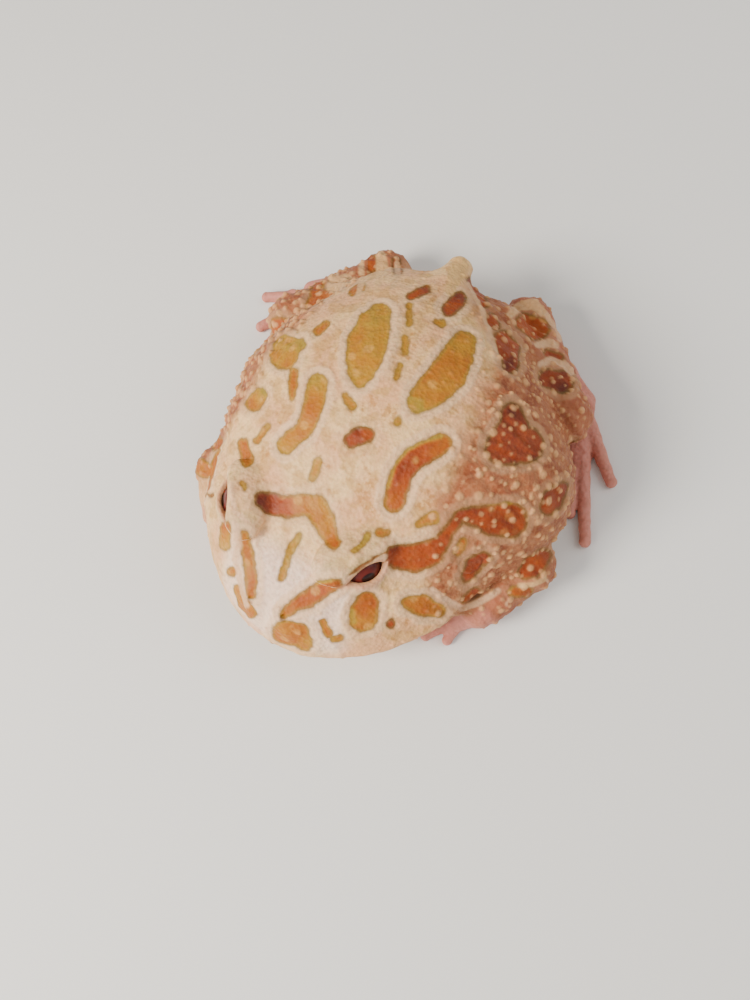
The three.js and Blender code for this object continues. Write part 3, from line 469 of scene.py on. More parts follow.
def mouth_height(y):
    back = smooth(-42, NECK_Y, y)
    return MOUTH_FRONT_Z + (MOUTH_CORNER_Z - MOUTH_FRONT_Z) * back


def ahead_of_neck(y):
    return 1 - smooth(NECK_Y - 7, NECK_Y - 1, y)


def core(x, y, z):
    """The trunk and head as one form, with a roll along each lip and a crease between."""
    across = x - lean(y)
    tilted = across - HEAD_TILT * smooth(10, 24, z) * smooth(-2, -14, y)
    plain = blend(trunk(np.abs(across), y, z), skull(np.abs(tilted), y, z), HEAD_FLOW)
    beside = np.abs(z - mouth_height(y))
    roll = np.exp(-(((beside - 2) / 1.3) ** 2))
    crease = np.exp(-((beside / MOUTH_WIDTH) ** 2))
    return plain + (MOUTH_DEPTH * crease - LIP_ROLL * roll) * ahead_of_neck(y)


def eye_centre(side):
    return np.array([EYE_MIDDLE + side * EYE_X, EYE_Y, EYE_Z])


def eye_way(side):
    way = np.array([side * EYE_WAY[0], *EYE_WAY[1:]])
    return way / np.linalg.norm(way)


def eye_axes(side):
    """Across the eye's slit, up over it, and the way that it looks."""
    way = eye_way(side)
    across = np.cross([0, 0, 1], way)
    across /= np.linalg.norm(across)
    return across, np.cross(way, across), way


def lid(x, y, z, side):
    """A ball round the eye, a brow over it and a horn, cut flat in front above the slit."""
    c = eye_centre(side)
    _, up, way = eye_axes(side)
    bx, by, bz = x - c[0] + side * BROW_INWARD, y - c[1], z - c[2] - BROW_RISE
    cos, sin = math.cos(BROW_TURN * side), math.sin(BROW_TURN * side)
    size = (BROW_WIDTH / 2, BROW_LENGTH / 2, BROW_THICKNESS / 2)
    brow = ellipsoid(bx * cos - by * sin, bx * sin + by * cos, bz, *size)
    root = c + way * 0.8 + [0, 0, EYE_RADIUS - 0.4]
    tip = root + way * 0.4 + [0, 0, HORN_HEIGHT]
    horn = limb(x, y, z, tuple(root), tuple(tip), (HORN_RADIUS, HORN_TIP_RADIUS))
    round_eye = norm(x - c[0], y - c[1], z - c[2]) - EYE_RADIUS - LID_THICKNESS
    form = blend(blend(round_eye, brow, 2), horn, 1.6)
    across = np.abs(along(x, y, z, c, (way[1], -way[0], 0)))
    face = LID_FACE + LID_FACE_CURVE * np.maximum(across - LID_FACE_FLAT, 0) ** 2
    ahead, above = along(x, y, z, c, way), along(x, y, z, c, up)
    return carve(form, np.maximum(face - ahead, LID_OPENING_RISE - above), 0.8)


def slit(x, y, z, side):
    """The room between the lids, a pointed oval pushed out along the eye's way."""
    c = eye_centre(side)
    u, v, w = (along(x, y, z, c, axis) for axis in eye_axes(side))
    share = side * u / (LID_OPENING_LENGTH / 2)
    wider = 1 + LID_OPENING_SKEW * np.clip(share, -1, 1)
    open_half = LID_OPENING_HEIGHT / 2 * (1 - share**2) * wider
    return np.maximum(np.abs(v - LID_OPENING_RISE) - open_half, 1 - w)


def digit(x, y, z, root, tip, radii):
    middle = mix(root, tip, DIGIT_BEND)
    half = (radii[0] + radii[1]) / 2 - 0.1
    a = (root[0], root[1], radii[0] - 0.2)
    b = (middle[0], middle[1], half + 0.1)
    c = (tip[0], tip[1], radii[1] - 0.2)
    first = limb(x, y, z, a, b, (radii[0], half))
    second = limb(x, y, z, b, c, (half, radii[1] - 0.1))
    return np.minimum(blend(first, second, 0.6), ball(x, y, z, c, radii[1]))


def hand(x, y, z, pose):
    form = limb(x, y, z, pose["wrist"], pose["palm"], PALM)
    for tip in pose["fingers"]:
        form = blend(form, digit(x, y, z, pose["palm"], tip, FINGER), FOOT_FLOW)
    return form


def foot(x, y, z, pose):
    form = limb(x, y, z, pose["heel"], pose["sole"], TARSUS)
    for tip in pose["toes"]:
        form = blend(form, digit(x, y, z, pose["sole"], tip, TOE), FOOT_FLOW)
    root = pose["sole"][:2]
    for one, other in zip(pose["toes"], pose["toes"][1:]):
        corners = [root, mix(root, one, WEB_REACH), mix(root, other, WEB_REACH)]
        form = blend(form, sheet(x, y, z, corners, WEB_THICKNESS), 0.5)
    spade = mix(pose["sole"], pose["toes"][0] + (3,), 0.25)
    tubercle = ellipsoid(x - spade[0], y - spade[1], z - 1.4, 2.0, 2.6, 1.6)
    return blend(form, tubercle, FOOT_FLOW)


def within(x, y, z, form, points, room, far, *more):
    """A form worked out only in the box round some points; elsewhere it is far."""
    value = np.full(x.shape, far, x.dtype)
    flat = np.array([tuple(p) + (0,) * (3 - len(p)) for p in points], float)
    low, high = flat.min(0) - room, flat.max(0) + room
    near = (x > low[0]) & (x < high[0]) & (y > low[1]) & (y < high[1]) & (z < high[2])
    if near.any():
        value[near] = form(x[near], y[near], z[near], *more)
    return value


def bones(x, y, z, pose):
    return [limb(x, y, z, pose[a], pose[b], radii) for a, b, radii in BONES]


def hand_and_foot(x, y, z, pose):
    hand_points = [pose["wrist"], pose["palm"], *pose["fingers"]]
    foot_points = [pose["heel"], pose["sole"], *pose["toes"]]
    return [
        within(x, y, z, hand, hand_points, 7, 5.0, pose),
        within(x, y, z, foot, foot_points, 8, 5.0, pose),
    ]


def skin(x, y, z):
    form = core(x, y, z)
    for side in SIDES.values():
        form = blend(form, within(x, y, z, lid, [eye_centre(side)], 13, 9.0, side), LID_FLOW)
    for pose in LIMBS.values():
        arm, forearm, thigh, shank = bones(x, y, z, pose)
        form = blend(form, blend(arm, forearm, ELBOW_FLOW), ARM_FLOW)
        form = blend(form, blend(thigh, shank, KNEE_FLOW), LEG_FLOW)
        for end in hand_and_foot(x, y, z, pose):
            form = blend(form, end, FOOT_FLOW)
    for side in SIDES.values():
        c = eye_centre(side)
        form = carve(form, within(x, y, z, slit, [c], 11, 9.0, side), 0.5)
        form = carve(form, norm(x - c[0], y - c[1], z - c[2]) - EYE_RADIUS - SOCKET_GAP, 0.1)
        form = carve(form, ball(x, y, z, NOSTRIL_PLACES[side], NOSTRIL_RADIUS), 0.3)
    return form


def grounded(x, y, z):
    return np.maximum(skin(x, y, z), -z)


def march(start, way, form):
    """Where rays from outside meet a form."""
    t = np.zeros(len(start))
    for _ in range(90):
        p = start + way * t[:, None]
        t += np.clip(form(p[:, 0], p[:, 1], p[:, 2]) * 0.7, 0, 4)
    return start + way * t[:, None]


def find_nostrils():
    places = {}
    for side in SIDES.values():
        start = np.array([[NOSTRIL_MIDDLE + side * NOSTRIL_X, NOSTRIL_Y, NOSTRIL_Z]])
        way = np.array([side * 0.25, -0.6, 0.75])
        way /= np.linalg.norm(way)
        places[side] = march(start + way * 8, -way[None, :], core)[0] + way * 0.15
    return places


NOSTRIL_PLACES = find_nostrils()


# The surface: one vertex in each cell that the skin crosses


CORNERS = [(i, j, k) for i in (0, 1) for j in (0, 1) for k in (0, 1)]


def finer(grid):
    for axis in range(3):
        grid = np.repeat(grid, COARSE, axis)
    return grid


def field_grid():
    """Distances on a grid, exact near the skin and only rough elsewhere."""
    step = CELL * COARSE
    size = np.ceil((HIGH - LOW) / step).astype(int)
    axes = [LOW[i] + step * np.arange(size[i] + 1) for i in range(3)]
    gx, gy, gz = (a.astype(np.float32) for a in np.meshgrid(*axes, indexing="ij"))
    rough = grounded(gx, gy, gz)
    near = np.abs(rough) < REACH
    block = near[:-1, :-1, :-1].copy()
    for i, j, k in CORNERS:
        block |= near[i : size[0] + i, j : size[1] + j, k : size[2] + k]
    value = finer(rough[:-1, :-1, :-1])
    where = np.nonzero(finer(block))
    x, y, z = ((LOW[a] + CELL * where[a]).astype(np.float32) for a in range(3))
    value[where] = grounded(x, y, z)
    return value


def net(value):
    """The net's vertices, and its faces with four corners each."""
    inside = value < 0
    n = [s - 1 for s in value.shape]

    def shifted(array, c):
        return array[c[0] : c[0] + n[0], c[1] : c[1] + n[1], c[2] : c[2] + n[2]]

    count = sum(shifted(inside, c).astype(np.int8) for c in CORNERS)
    cells = np.nonzero((count > 0) & (count < 8))
    number = np.full(n, -1, np.int64)
    number[cells] = np.arange(len(cells[0]))
    total = np.zeros((len(cells[0]), 3))
    hits = np.zeros(len(cells[0]))
    at = {c: value[tuple(cells[i] + c[i] for i in range(3))].astype(float) for c in CORNERS}
    for a in CORNERS:
        for b in CORNERS:
            if sum(abs(p - q) for p, q in zip(a, b)) != 1 or a > b:
                continue
            va, vb = at[a], at[b]
            cross = (va < 0) != (vb < 0)
            t = np.where(cross, va / np.where(cross, va - vb, 1), 0)
            point = np.array(a) + t[:, None] * (np.array(b) - np.array(a))
            total += point * cross[:, None]
            hits += cross
    points = LOW + CELL * (np.stack(cells, 1) + total / hits[:, None])
    quads = []
    for axis in range(3):
        u, v = [a for a in range(3) if a != axis]
        if axis == 1:
            u, v = v, u
        low = [slice(1, n[a]) for a in range(3)]
        high = list(low)
        low[axis] = slice(0, n[axis])
        high[axis] = slice(1, n[axis] + 1)
        first, second = inside[tuple(low)], inside[tuple(high)]
        where = np.nonzero(first != second)
        base = [w + (0 if a == axis else 1) for a, w in enumerate(where)]
        ring = []
        for du, dv in ((-1, -1), (0, -1), (0, 0), (-1, 0)):
            place = list(base)
            place[u] = place[u] + du
            place[v] = place[v] + dv
            ring.append(number[tuple(place)])
        ring = np.stack(ring, 1)
        flip = ~first[where]
        ring[flip] = ring[flip][:, ::-1]
        quads.append(ring)
    quads = np.concatenate(quads)
    return points, quads[(quads >= 0).all(1)]


def slope(points, form, d=0.04):
    """How fast a form's distance grows along each axis."""
    parts = []
    for axis in np.eye(3) * d:
        parts.append(form(*(points + axis).T) - form(*(points - axis).T))
    return np.stack(parts, 1) / (2 * d)


def settled(points):
    """The net's vertices moved onto the true surface, and their outward directions."""
    above = points[:, 2] > CELL * 0.7
    for _ in range(2):
        p = points[above]
        off = skin(*p.T)
        way = slope(p, skin)
        step = off / np.maximum(0.4, (way**2).sum(1))
        points[above] = p - way * np.clip(step, -0.3 * CELL, 0.3 * CELL)[:, None]
    points[:, 2] = np.maximum(points[:, 2], 0)
    way = slope(points, skin)
    way /= np.maximum(np.linalg.norm(way, axis=1), 1e-6)[:, None]
    return points, way


# The camera


def camera_axes():
    """To the right in the photograph, up in it, and back towards the camera."""
    out, rise = math.cos(CAMERA_ELEVATION), math.sin(CAMERA_ELEVATION)
    back = Vector((math.sin(CAMERA_AZIMUTH) * out, -math.cos(CAMERA_AZIMUTH) * out, rise))
    level = (-back).cross(Vector((0, 0, 1))).normalized()
    over = level.cross(-back)
    right = level * math.cos(CAMERA_ROLL) + over * math.sin(CAMERA_ROLL)
    up = over * math.cos(CAMERA_ROLL) - level * math.sin(CAMERA_ROLL)
    return right, up, back


EYE_POINT = np.array(CAMERA_TARGET + camera_axes()[2] * CAMERA_DISTANCE)
RIGHT, UP, BACK = (np.array(axis) for axis in camera_axes())
FOCAL = CAMERA_LENS / CAMERA_SENSOR * PHOTO_HEIGHT


def in_photo(points):
    """Pixel x, pixel y and depth of places in millimetres."""
    off = points - EYE_POINT
    depth = -off @ BACK
    px = PHOTO_WIDTH / 2 + FOCAL * (off @ RIGHT) / depth
    py = PHOTO_HEIGHT / 2 - FOCAL * (off @ UP) / depth
    return px, py, depth


def on_skin(px, py):
    """Where the photograph's pixels lie on the skin."""
    sideways = ((px - PHOTO_WIDTH / 2) / FOCAL)[:, None] * RIGHT
    way = sideways - ((py - PHOTO_HEIGHT / 2) / FOCAL)[:, None] * UP - BACK
    way /= np.linalg.norm(way, axis=1)[:, None]
    return march(EYE_POINT + way * 120, way, grounded)


def make_camera():
    data = bpy.data.cameras.new("camera")
    data.lens = CAMERA_LENS
    data.sensor_fit = "VERTICAL"
    data.sensor_height = CAMERA_SENSOR
    data.sensor_width = CAMERA_SENSOR
    data.clip_start = 0.01
    camera = bpy.data.objects.new("camera", data)
    turn = Matrix(camera_axes()).transposed().to_4x4()
    camera.matrix_world = Matrix.Translation(Vector(EYE_POINT) * MM) @ turn
    bpy.context.scene.collection.objects.link(camera)
    bpy.context.scene.camera = camera


# Relief and markings


def chain_distance(px, py, chain):
    """Distance in pixels outside a chain of discs, with the nearest disc's tone and place."""
    best = np.full(px.shape, 1e6)
    tone = np.zeros(px.shape)
    nearest = np.zeros(px.shape + (2,))
    share = np.zeros(px.shape)
    links = list(zip(chain, chain[1:])) or [(chain[0], chain[0])]
    for index, (a, b) in enumerate(links):
        ux, uy = b[0] - a[0], b[1] - a[1]
        length = max(ux * ux + uy * uy, 1e-6)
        t = np.clip(((px - a[0]) * ux + (py - a[1]) * uy) / length, 0, 1)
        qx, qy = a[0] + ux * t, a[1] + uy * t
        d = np.hypot(px - qx, py - qy) - (a[2] + (b[2] - a[2]) * t)
        closer = d < best
        best = np.where(closer, d, best)
        tone = np.where(closer, a[3] + (b[3] - a[3]) * t, tone)
        share = np.where(closer, index + t, share)
        nearest[closer] = np.stack([qx, qy], -1)[closer]
    return best, tone, nearest, share


def photo_blotch(chain, points, way, pixels):
    """Signed distance in millimetres to a blotch drawn in the photograph, with its tone."""
    px, py, depth = pixels
    xs, ys, rs = (np.array([c[i] for c in chain], float) for i in range(3))
    carrier_depth = in_photo(on_skin(xs, ys))[2]
    distance = np.full(len(points), 20.0)
    tones = np.zeros(len(points))
    margin = rs.max() + 26
    beside = (px > xs.min() - margin) & (px < xs.max() + margin)
    near = np.nonzero(beside & (py > ys.min() - margin) & (py < ys.max() + margin))[0]
    d, tone, nearest, share = chain_distance(px[near], py[near], chain)
    off = np.stack([px[near], py[near]], 1) - nearest
    off /= np.maximum(np.linalg.norm(off, axis=1), 1e-6)[:, None]
    scale = FOCAL / depth[near]
    ray = points[near] - EYE_POINT
    toward = ray / (-(ray @ BACK))[:, None]
    gx = RIGHT + BACK * (toward @ RIGHT)[:, None]
    gy = -(UP + BACK * (toward @ UP)[:, None])
    g = (gx * off[:, :1] + gy * off[:, 1:]) * scale[:, None]
    normal = way[near]
    g -= normal * (g * normal).sum(1)[:, None]
    pace = np.maximum(np.linalg.norm(g, axis=1), 0.9)
    millimetres = d / pace
    depth_there = np.interp(share, np.arange(len(chain)), carrier_depth)
    beyond = np.abs(depth[near] - depth_there) - 5 - rs.max() / 4
    facing = -(normal * ray / np.linalg.norm(ray, axis=1)[:, None]).sum(1)
    hidden = np.maximum(beyond, (0.02 - facing) * 30)
    distance[near] = np.maximum(millimetres, hidden)
    tones[near] = tone
    return distance, tones


def body_blotch(chain, points):
    """The same for a blotch given by degrees round the body."""
    distance = np.full(len(points), 20.0)
    tones = np.zeros(len(points))
    places = []
    for degrees, y, radius, tone in chain:
        angle = math.radians(degrees)
        way = np.array([[math.sin(angle), 0, math.cos(angle)]])
        start = np.array([[float(lean(np.float64(y))), y, 12.0]]) + way * 70
        places.append((march(start, -way, core)[0], radius, tone))
    if len(places) == 1:
        places.append(places[0])
    for (a, ra, ta), (b, rb, tb) in zip(places, places[1:]):
        u = b - a
        t = np.clip(((points - a) @ u) / max(u @ u, 1e-6), 0, 1)
        d = np.linalg.norm(points - a - t[:, None] * u, axis=1) - (ra + (rb - ra) * t)
        closer = d < distance
        distance = np.where(closer, d, distance)
        tones = np.where(closer, ta + (tb - ta) * t, tones)
    return distance, tones


def waves(points, size, seed, octaves=3):
    """Smooth noise from -1 to 1 at each place, features about size millimetres wide."""
    rng = np.random.default_rng(seed)
    total = np.zeros(len(points))
    weight = 0
    for octave in range(octaves):
        scale = size / 2**octave
        for _ in range(5):
            way = rng.normal(size=3)
            way /= np.linalg.norm(way)
            bend = rng.normal(size=3)
            phase = rng.uniform(0, 6.28, 2)
            twist = np.sin(points @ (bend / scale) + phase[1])
            total += np.sin(points @ (way * 6.28 / (scale * 2)) + phase[0] + 1.6 * twist) / 2**octave
        weight += 5 / 2**octave
    return total / weight * 2.2


NEIGHBOURS = [(i, j, k) for i in (-1, 0, 1) for j in (-1, 0, 1) for k in (-1, 0, 1)]


def scatter(points, chance, gap, rng, most):
    """Seeded places on the skin, no two nearer to each other than a gap."""
    order = rng.permutation(len(points))
    order = order[rng.uniform(size=len(order)) < chance[order]]
    taken = {}
    chosen = []
    for index in order:
        p = points[index]
        i, j, k = (p // gap).astype(int)
        clear = True
        for di, dj, dk in NEIGHBOURS:
            for other in taken.get((i + di, j + dj, k + dk), ()):
                clear = clear and ((points[other] - p) ** 2).sum() >= gap**2
        if clear:
            taken.setdefault((i, j, k), []).append(index)
            chosen.append(index)
            if len(chosen) >= most:
                break
    return np.array(chosen)


def dent(distance, edge, width):
    """1 at an edge, falling to 0 over a width either side."""
    return np.exp(-(((distance - edge) / width) ** 2))


def body_zones(points, way):
    """Soft masks from 0 to 1 for the parts of the skin that differ in colour or relief."""
    x, y, z = points.T
    s = x - lean(y)
    body = core(x, y, z)
    limbs = np.full(len(points), 9.0)
    feet, lids, ears = limbs, limbs, limbs + 11
    rims = np.zeros(len(points))
    for pose in LIMBS.values():
        for bone in bones(x, y, z, pose):
            limbs = np.minimum(limbs, bone)
        for end in hand_and_foot(x, y, z, pose):
            feet = np.minimum(feet, end)
    for side in SIDES.values():
        c = eye_centre(side)
        lids = np.minimum(lids, within(x, y, z, lid, [c], 13, 9.0, side))
        opening = within(x, y, z, slit, [c], 11, 9.0, side)
        rims = np.maximum(rims, 1 - smooth(0.1, 1.3, opening))
        ears = np.minimum(ears, ball(x, y, z, EAR_PLACES[side], 0))
    edge = np.interp(y, FLANK_EDGE_Y, FLANK_EDGE_ACROSS)
    # The right flank starts further out, as painted light on the lit side
    flank = np.where(s > 0, s - edge, -s - edge - RIGHT_FLANK_LIT_OFFSET) + 1.5 * waves(points, 9, 31)
    mouth = np.exp(-((np.abs(z - mouth_height(y)) / (MOUTH_WIDTH * 1.2)) ** 2))
    return {
        "limb": smooth(1.0, -0.4, limbs) * smooth(0.4, 2.6, body) * np.where(x < 0, 0.45, 1.0),
        "foot": smooth(0.9, 0.0, feet),
        "lid": smooth(1.2, 0.2, lids) * smooth(0.2, 1.6, body + 0.9),
        "rim": rims,
        "ear": ears,
        "flank": smooth(-3, 3, flank) * smooth(-25, -16, y) * smooth(1, 6, z),
        "belly": smooth(8.5, 3.5, z) * smooth(0.2, -0.5, way[:, 2]),
        # The snout's top between the eyes, where the near white painted sheen goes
        "face": smooth(-22, -29, y) * smooth(10, 15, z) * smooth(17, 12, np.abs(s)),
        "mouth": mouth * ahead_of_neck(y) * smooth(1.5, 0.3, np.abs(body)),
        "across": s,
    }


def find_ears():
    places = {}
    for side in SIDES.values():
        way = np.array([[side * 0.9, 0, 0.44]])
        way /= np.linalg.norm(way)
        start = np.array([[side * 18, EAR_Y, 14.0]]) + way * 40
        places[side] = march(start, -way, core)[0]
    return places


EAR_PLACES = find_ears()


def blotches(points, way, pixels):
    """Each blotch's distance and tone, its rim's strength, and where the rim ends and is full."""
    for strength, chain in BLOTCHES.values():
        yield photo_blotch(chain, points, way, pixels), strength, (2.7, 1.5)
    for strength, chain in HIDDEN_BLOTCHES.values():
        yield body_blotch(chain, points), strength, (3.4, 1.6)


def markings(points, way):
    """Signed distance to the nearest blotch, its tone and rim, and the pale marks."""
    pixels = in_photo(points)
    distance = np.full(len(points), 20.0)
    tone, rim, pale, yellow = np.zeros((4, len(points)))
    for (d, t), strength, reach in blotches(points, way, pixels):
        closer = d < distance
        distance = np.where(closer, d, distance)
        tone = np.where(closer, t, tone)
        rim = np.maximum(rim, strength * smooth(*reach, d))
    for chain in TONE_PATCHES.values():
        d, t = photo_blotch(chain, points, way, pixels)
        tone = tone + (t - tone) * smooth(0.5, -0.6, d)
    for warmth, discs in PALE_MARKS.values():
        d, _ = photo_blotch([disc + (0,) for disc in discs], points, way, pixels)
        share = smooth(0.45, -0.15, d)
        yellow = np.where(share > pale, warmth, yellow)
        pale = np.maximum(pale, share)
    return distance, tone, rim, pale, yellow


def pearls(points):
    """The nearest vertex to each of the largest warts, and their radii in millimetres."""
    spots = np.array(PEARLS)
    places = on_skin(spots[:, 0], spots[:, 1])
    depth = in_photo(places)[2]
    index = [int(np.argmin(((points - p) ** 2).sum(1))) for p in places]
    return np.array(index), spots[:, 2] * depth / FOCAL * 0.95


def add_bumps(tree, points, places, radii, heights, raised, mask):
    """Round warts: each lifts the skin and marks its top."""
    for index, radius, height in zip(places, radii, heights):
        found = tree.find_range(points[index], radius * 1.25)
        ids = np.array([f[1] for f in found])
        d = np.array([f[2] for f in found]) / radius
        dome = np.clip(1 - d * d, 0, 1) ** 1.2
        raised[ids] = np.maximum(raised[ids], dome * height)
        mask[ids] = np.maximum(mask[ids], smooth(1.05, 0.45, d))


# Smaller warts: how many at most, the gap between them, their radii and heights
WARTS = {
    "beads": (300, 1.7, (0.4, 0.7), (0.22, 0.4)),
    "large": (260, 2.6, (0.55, 1.0), (0.3, 0.55)),
    "rows": (160, 2.1, (0.6, 1.15), (0.35, 0.8)),
    "small": (900, 1.7, (0.35, 0.65), (0.1, 0.24)),
}


def add_warts(points, zones, distance, rim):
    """How far the warts lift the skin, and the mask of the pale ones."""
    z = points[:, 2]
    rng = np.random.default_rng(SEED)
    raised, warts, small = np.zeros((3, len(points)))
    gone = np.clip(zones["foot"] + zones["rim"] + zones["belly"] + (zones["ear"] < 3.2), 0, 1)
    rough = (1 - gone) * (z > 1.5) * (zones["mouth"] < 0.2)
    flank = np.clip(zones["flank"] * 1.2, 0, 1) * rough
    edge_row = smooth(-27, -33, zones["across"]) * smooth(6, 10, z) * rough
    chances = {
        "beads": 0.06 * (flank * rim * dent(distance, 2.2, 0.45)),
        "large": 0.02 * flank,
        "rows": 0.03 * (edge_row * (points[:, 1] > -8)),
        "small": 0.02 * (0.35 * (rough * (1 - zones["flank"])) + flank),
    }
    tree = kdtree.KDTree(len(points))
    for index, p in enumerate(points):
        tree.insert(p, index)
    tree.balance()
    chosen, sizes = pearls(points)
    add_bumps(tree, points, chosen, sizes, sizes * 0.75, raised, warts)
    for kind, (most, gap, radii, heights) in WARTS.items():
        chosen = scatter(points, chances[kind], gap, rng, most)
        sizes, lifts = (rng.uniform(*span, len(chosen)) for span in (radii, heights))
        mask = small if kind == "small" else warts
        add_bumps(tree, points, chosen, sizes, lifts, raised, mask)
    warts = np.maximum(warts, 0.45 * small * (zones["flank"] + 0.2))
    return raised, np.clip(warts, 0, 1)


def relief(points, zones, distance, rim):
    """How far each vertex lifts along its own direction, and the mask of the pale warts."""
    lift = np.zeros(len(points))
    body = (1 - zones["foot"]) * (1 - zones["rim"])
    lift += 0.2 * rim * dent(distance, 1.3, 0.8) * body
    lift -= 0.12 * smooth(0.3, -0.8, distance) * body
    lift += 0.09 * waves(points, 2.2, 11, 2) * body * (1 - 0.6 * zones["belly"])
    lift += 0.16 * waves(points, 7, 12, 2) * body
    fold = zones["flank"] + zones["limb"] + 0.4 * (np.abs(zones["across"]) > 26)
    folds = np.sin(points[:, 1] * 1.9 + 2.2 * waves(points, 6, 13, 2))
    lift += 0.14 * np.clip(fold, 0, 1) * folds
    lift -= 0.3 * dent(zones["ear"], EAR_RADIUS, 0.35)
    lift -= 0.22 * smooth(EAR_RADIUS, EAR_RADIUS * 0.4, zones["ear"])
    raised, warts = add_warts(points, zones, distance, rim)
    return lift + raised, warts


def new_object(name, points, faces, material):
    mesh = bpy.data.meshes.new(name)
    mesh.from_pydata(points * MM, [], faces.tolist())
    mesh.polygons.foreach_set("use_smooth", np.ones(len(mesh.polygons), bool))
    mesh.materials.append(material)
    mesh.update()
    piece = bpy.data.objects.new(name, mesh)
    bpy.context.scene.collection.objects.link(piece)
    return piece


# Materials


class Nodes:
    """Short calls for the nodes of one material."""

    def __init__(self, name):
        self.material = bpy.data.materials.new(name)
        self.material.use_nodes = True
        self.tree = self.material.node_tree
        self.shader = self.tree.nodes["Principled BSDF"]
        self.places = self.new("ShaderNodeTexCoord").outputs["Object"]

    def new(self, kind, **settings):
        node = self.tree.nodes.new(kind)
        for key, value in settings.items():
            setattr(node, key, value)
        return node

    def put(self, value, socket):
        """Links or sets a socket; a whole number on a colour is a screen colour."""
        if isinstance(value, bpy.types.NodeSocket):
            self.tree.links.new(value, socket)
        elif socket.type == "RGBA":
            socket.default_value = (*(linear(value) if isinstance(value, int) else value), 1)
        else:
            socket.default_value = value

    def math(self, operation, a, b=0.0):
        node = self.new("ShaderNodeMath", operation=operation)
        self.put(a, node.inputs[0])
        self.put(b, node.inputs[1])
        return node.outputs[0]

    def plus(self, a, b):
        return self.math("ADD", a, b)

    def times(self, a, b):
        return self.math("MULTIPLY", a, b)

    def square(self, a):
        return self.math("POWER", a, 2)

    def smooth(self, value, low, high):
        """0 at low and 1 at high, whichever is the larger."""
        node = self.new("ShaderNodeMapRange", interpolation_type="SMOOTHSTEP")
        self.put(value, node.inputs["Value"])
        node.inputs["From Min"].default_value = min(low, high)
        node.inputs["From Max"].default_value = max(low, high)
        node.inputs["To Min"].default_value = float(low > high)
        node.inputs["To Max"].default_value = float(low < high)
        return node.outputs["Result"]

    def mix(self, share, a, b, most=None):
        """a turning into b; most scales the share."""
        if most is not None:
            share = self.times(share, most)
        node = self.new("ShaderNodeMix", data_type="RGBA")
        self.put(share, node.inputs["Factor"])
        self.put(a, node.inputs["A"])
        self.put(b, node.inputs["B"])
        return node.outputs["Result"]

    def attribute(self, name):
        return self.new("ShaderNodeAttribute", attribute_name=name).outputs["Fac"]

    def noise(self, size, detail, seed, rough=0.5):
        """Noise whose features are about size metres wide."""
        shifted = self.new("ShaderNodeVectorMath", operation="ADD")
        self.put(self.places, shifted.inputs[0])
        shifted.inputs[1].default_value = (seed, seed * 0.7, -seed)
        node = self.new("ShaderNodeTexNoise")
        self.put(shifted.outputs[0], node.inputs["Vector"])
        node.inputs["Scale"].default_value = 1 / size
        node.inputs["Detail"].default_value = detail
        node.inputs["Roughness"].default_value = rough
        return node.outputs["Fac"]

    def pebbles(self, size):
        node = self.new("ShaderNodeTexVoronoi")
        self.put(self.places, node.inputs["Vector"])
        node.inputs["Scale"].default_value = 1 / size
        return node.outputs["Distance"]

    def ramp(self, value, stops):
        node = self.new("ShaderNodeValToRGB")
        self.put(value, node.inputs["Fac"])
        elements = node.color_ramp.elements
        while len(elements) < len(stops):
            elements.new(0.5)
        for element, (place, color) in zip(elements, stops):
            element.position = place
            element.color = (*linear(color), 1)
        return node.outputs["Color"]

    def shade(self, settings):
        """Puts each value, constant or linked, on the shader's own socket."""
        for name, value in settings.items():
            self.put(value, self.shader.inputs[name])
        return self.material

    def bump(self, height, distance, strength, normal=None):
        node = self.new("ShaderNodeBump")
        self.put(height, node.inputs["Height"])
        node.inputs["Distance"].default_value = distance
        node.inputs["Strength"].default_value = strength
        if normal is not None:
            self.put(normal, node.inputs["Normal"])
        return node.outputs["Normal"]


def linear(color):
    """A screen colour such as 0xC8A890 as linear light."""
    parts = [(color >> shift & 255) / 255 for shift in (16, 8, 0)]
    return tuple(c / 12.92 if c <= 0.04045 else ((c + 0.055) / 1.055) ** 2.4 for c in parts)


TONES = [
    (0.0, 0x8C7C26),
    (0.14, 0xA68226),
    (0.3, 0xB27A1C),
    (0.46, 0xAA6418),
    (0.6, 0xA25010),
    (0.74, 0x984010),
    (0.86, 0x843412),
    (1.0, 0x5E2010),
]
CREAM = 0xE8BE84
PINK_CREAM = 0xE0A878
TAN_CREAM = 0xC29453
OCHRE = 0xB97E38
HALO = 0xE2B88C
FLANK_HALO = 0xB4845E
# Flank red browns: the frog's own colour, made darker and redder by painted shade and a painted red
# reflection
FLANK = 0x95512F
FLANK_RED = 0x80391F
LIMB_SKIN = 0xB0684C
FOOT_SKIN = 0xC88272
LID_SKIN = 0xE0B888
LID_GREEN = 0xC2AA78
WART = 0xDEB27A
BELLY = 0xE6CEB4
EDGE_LINE = 0x6E5A2C
PALE = 0xDCB08C
PALE_YELLOW = 0xD6AA60
# Near white of the snout between the eyes: its pale skin with a painted sheen
SNOUT_PALE_AND_SHEEN = 0xFADCC8
FLANK_SPECK = 0xB87850
BLOTCH_DOT = 0xD09848
YELLOW_EDGE = 0xA98A30
WART_SKIRT = 0xCC8E5C
MOUTH_LINE = 0x6A3828
EYE_RIM = 0xC88A6C
# The eye's colours: a ruby iris darkened all over as painted shade from the lids
FINE_GRAIN = 0x8C5A3C
SHADED_IRIS = 0x42100E
IRIS_VEIN = 0x5E1C17
IRIS_INNER = 0x62201A
IRIS_EDGE = 0x2A0C0A
PUPIL = 0x1E0505
FLOOR_DARK = (0.78, 0.77, 0.75)  # linear light
FLOOR_LIGHT = (0.8, 0.79, 0.77)


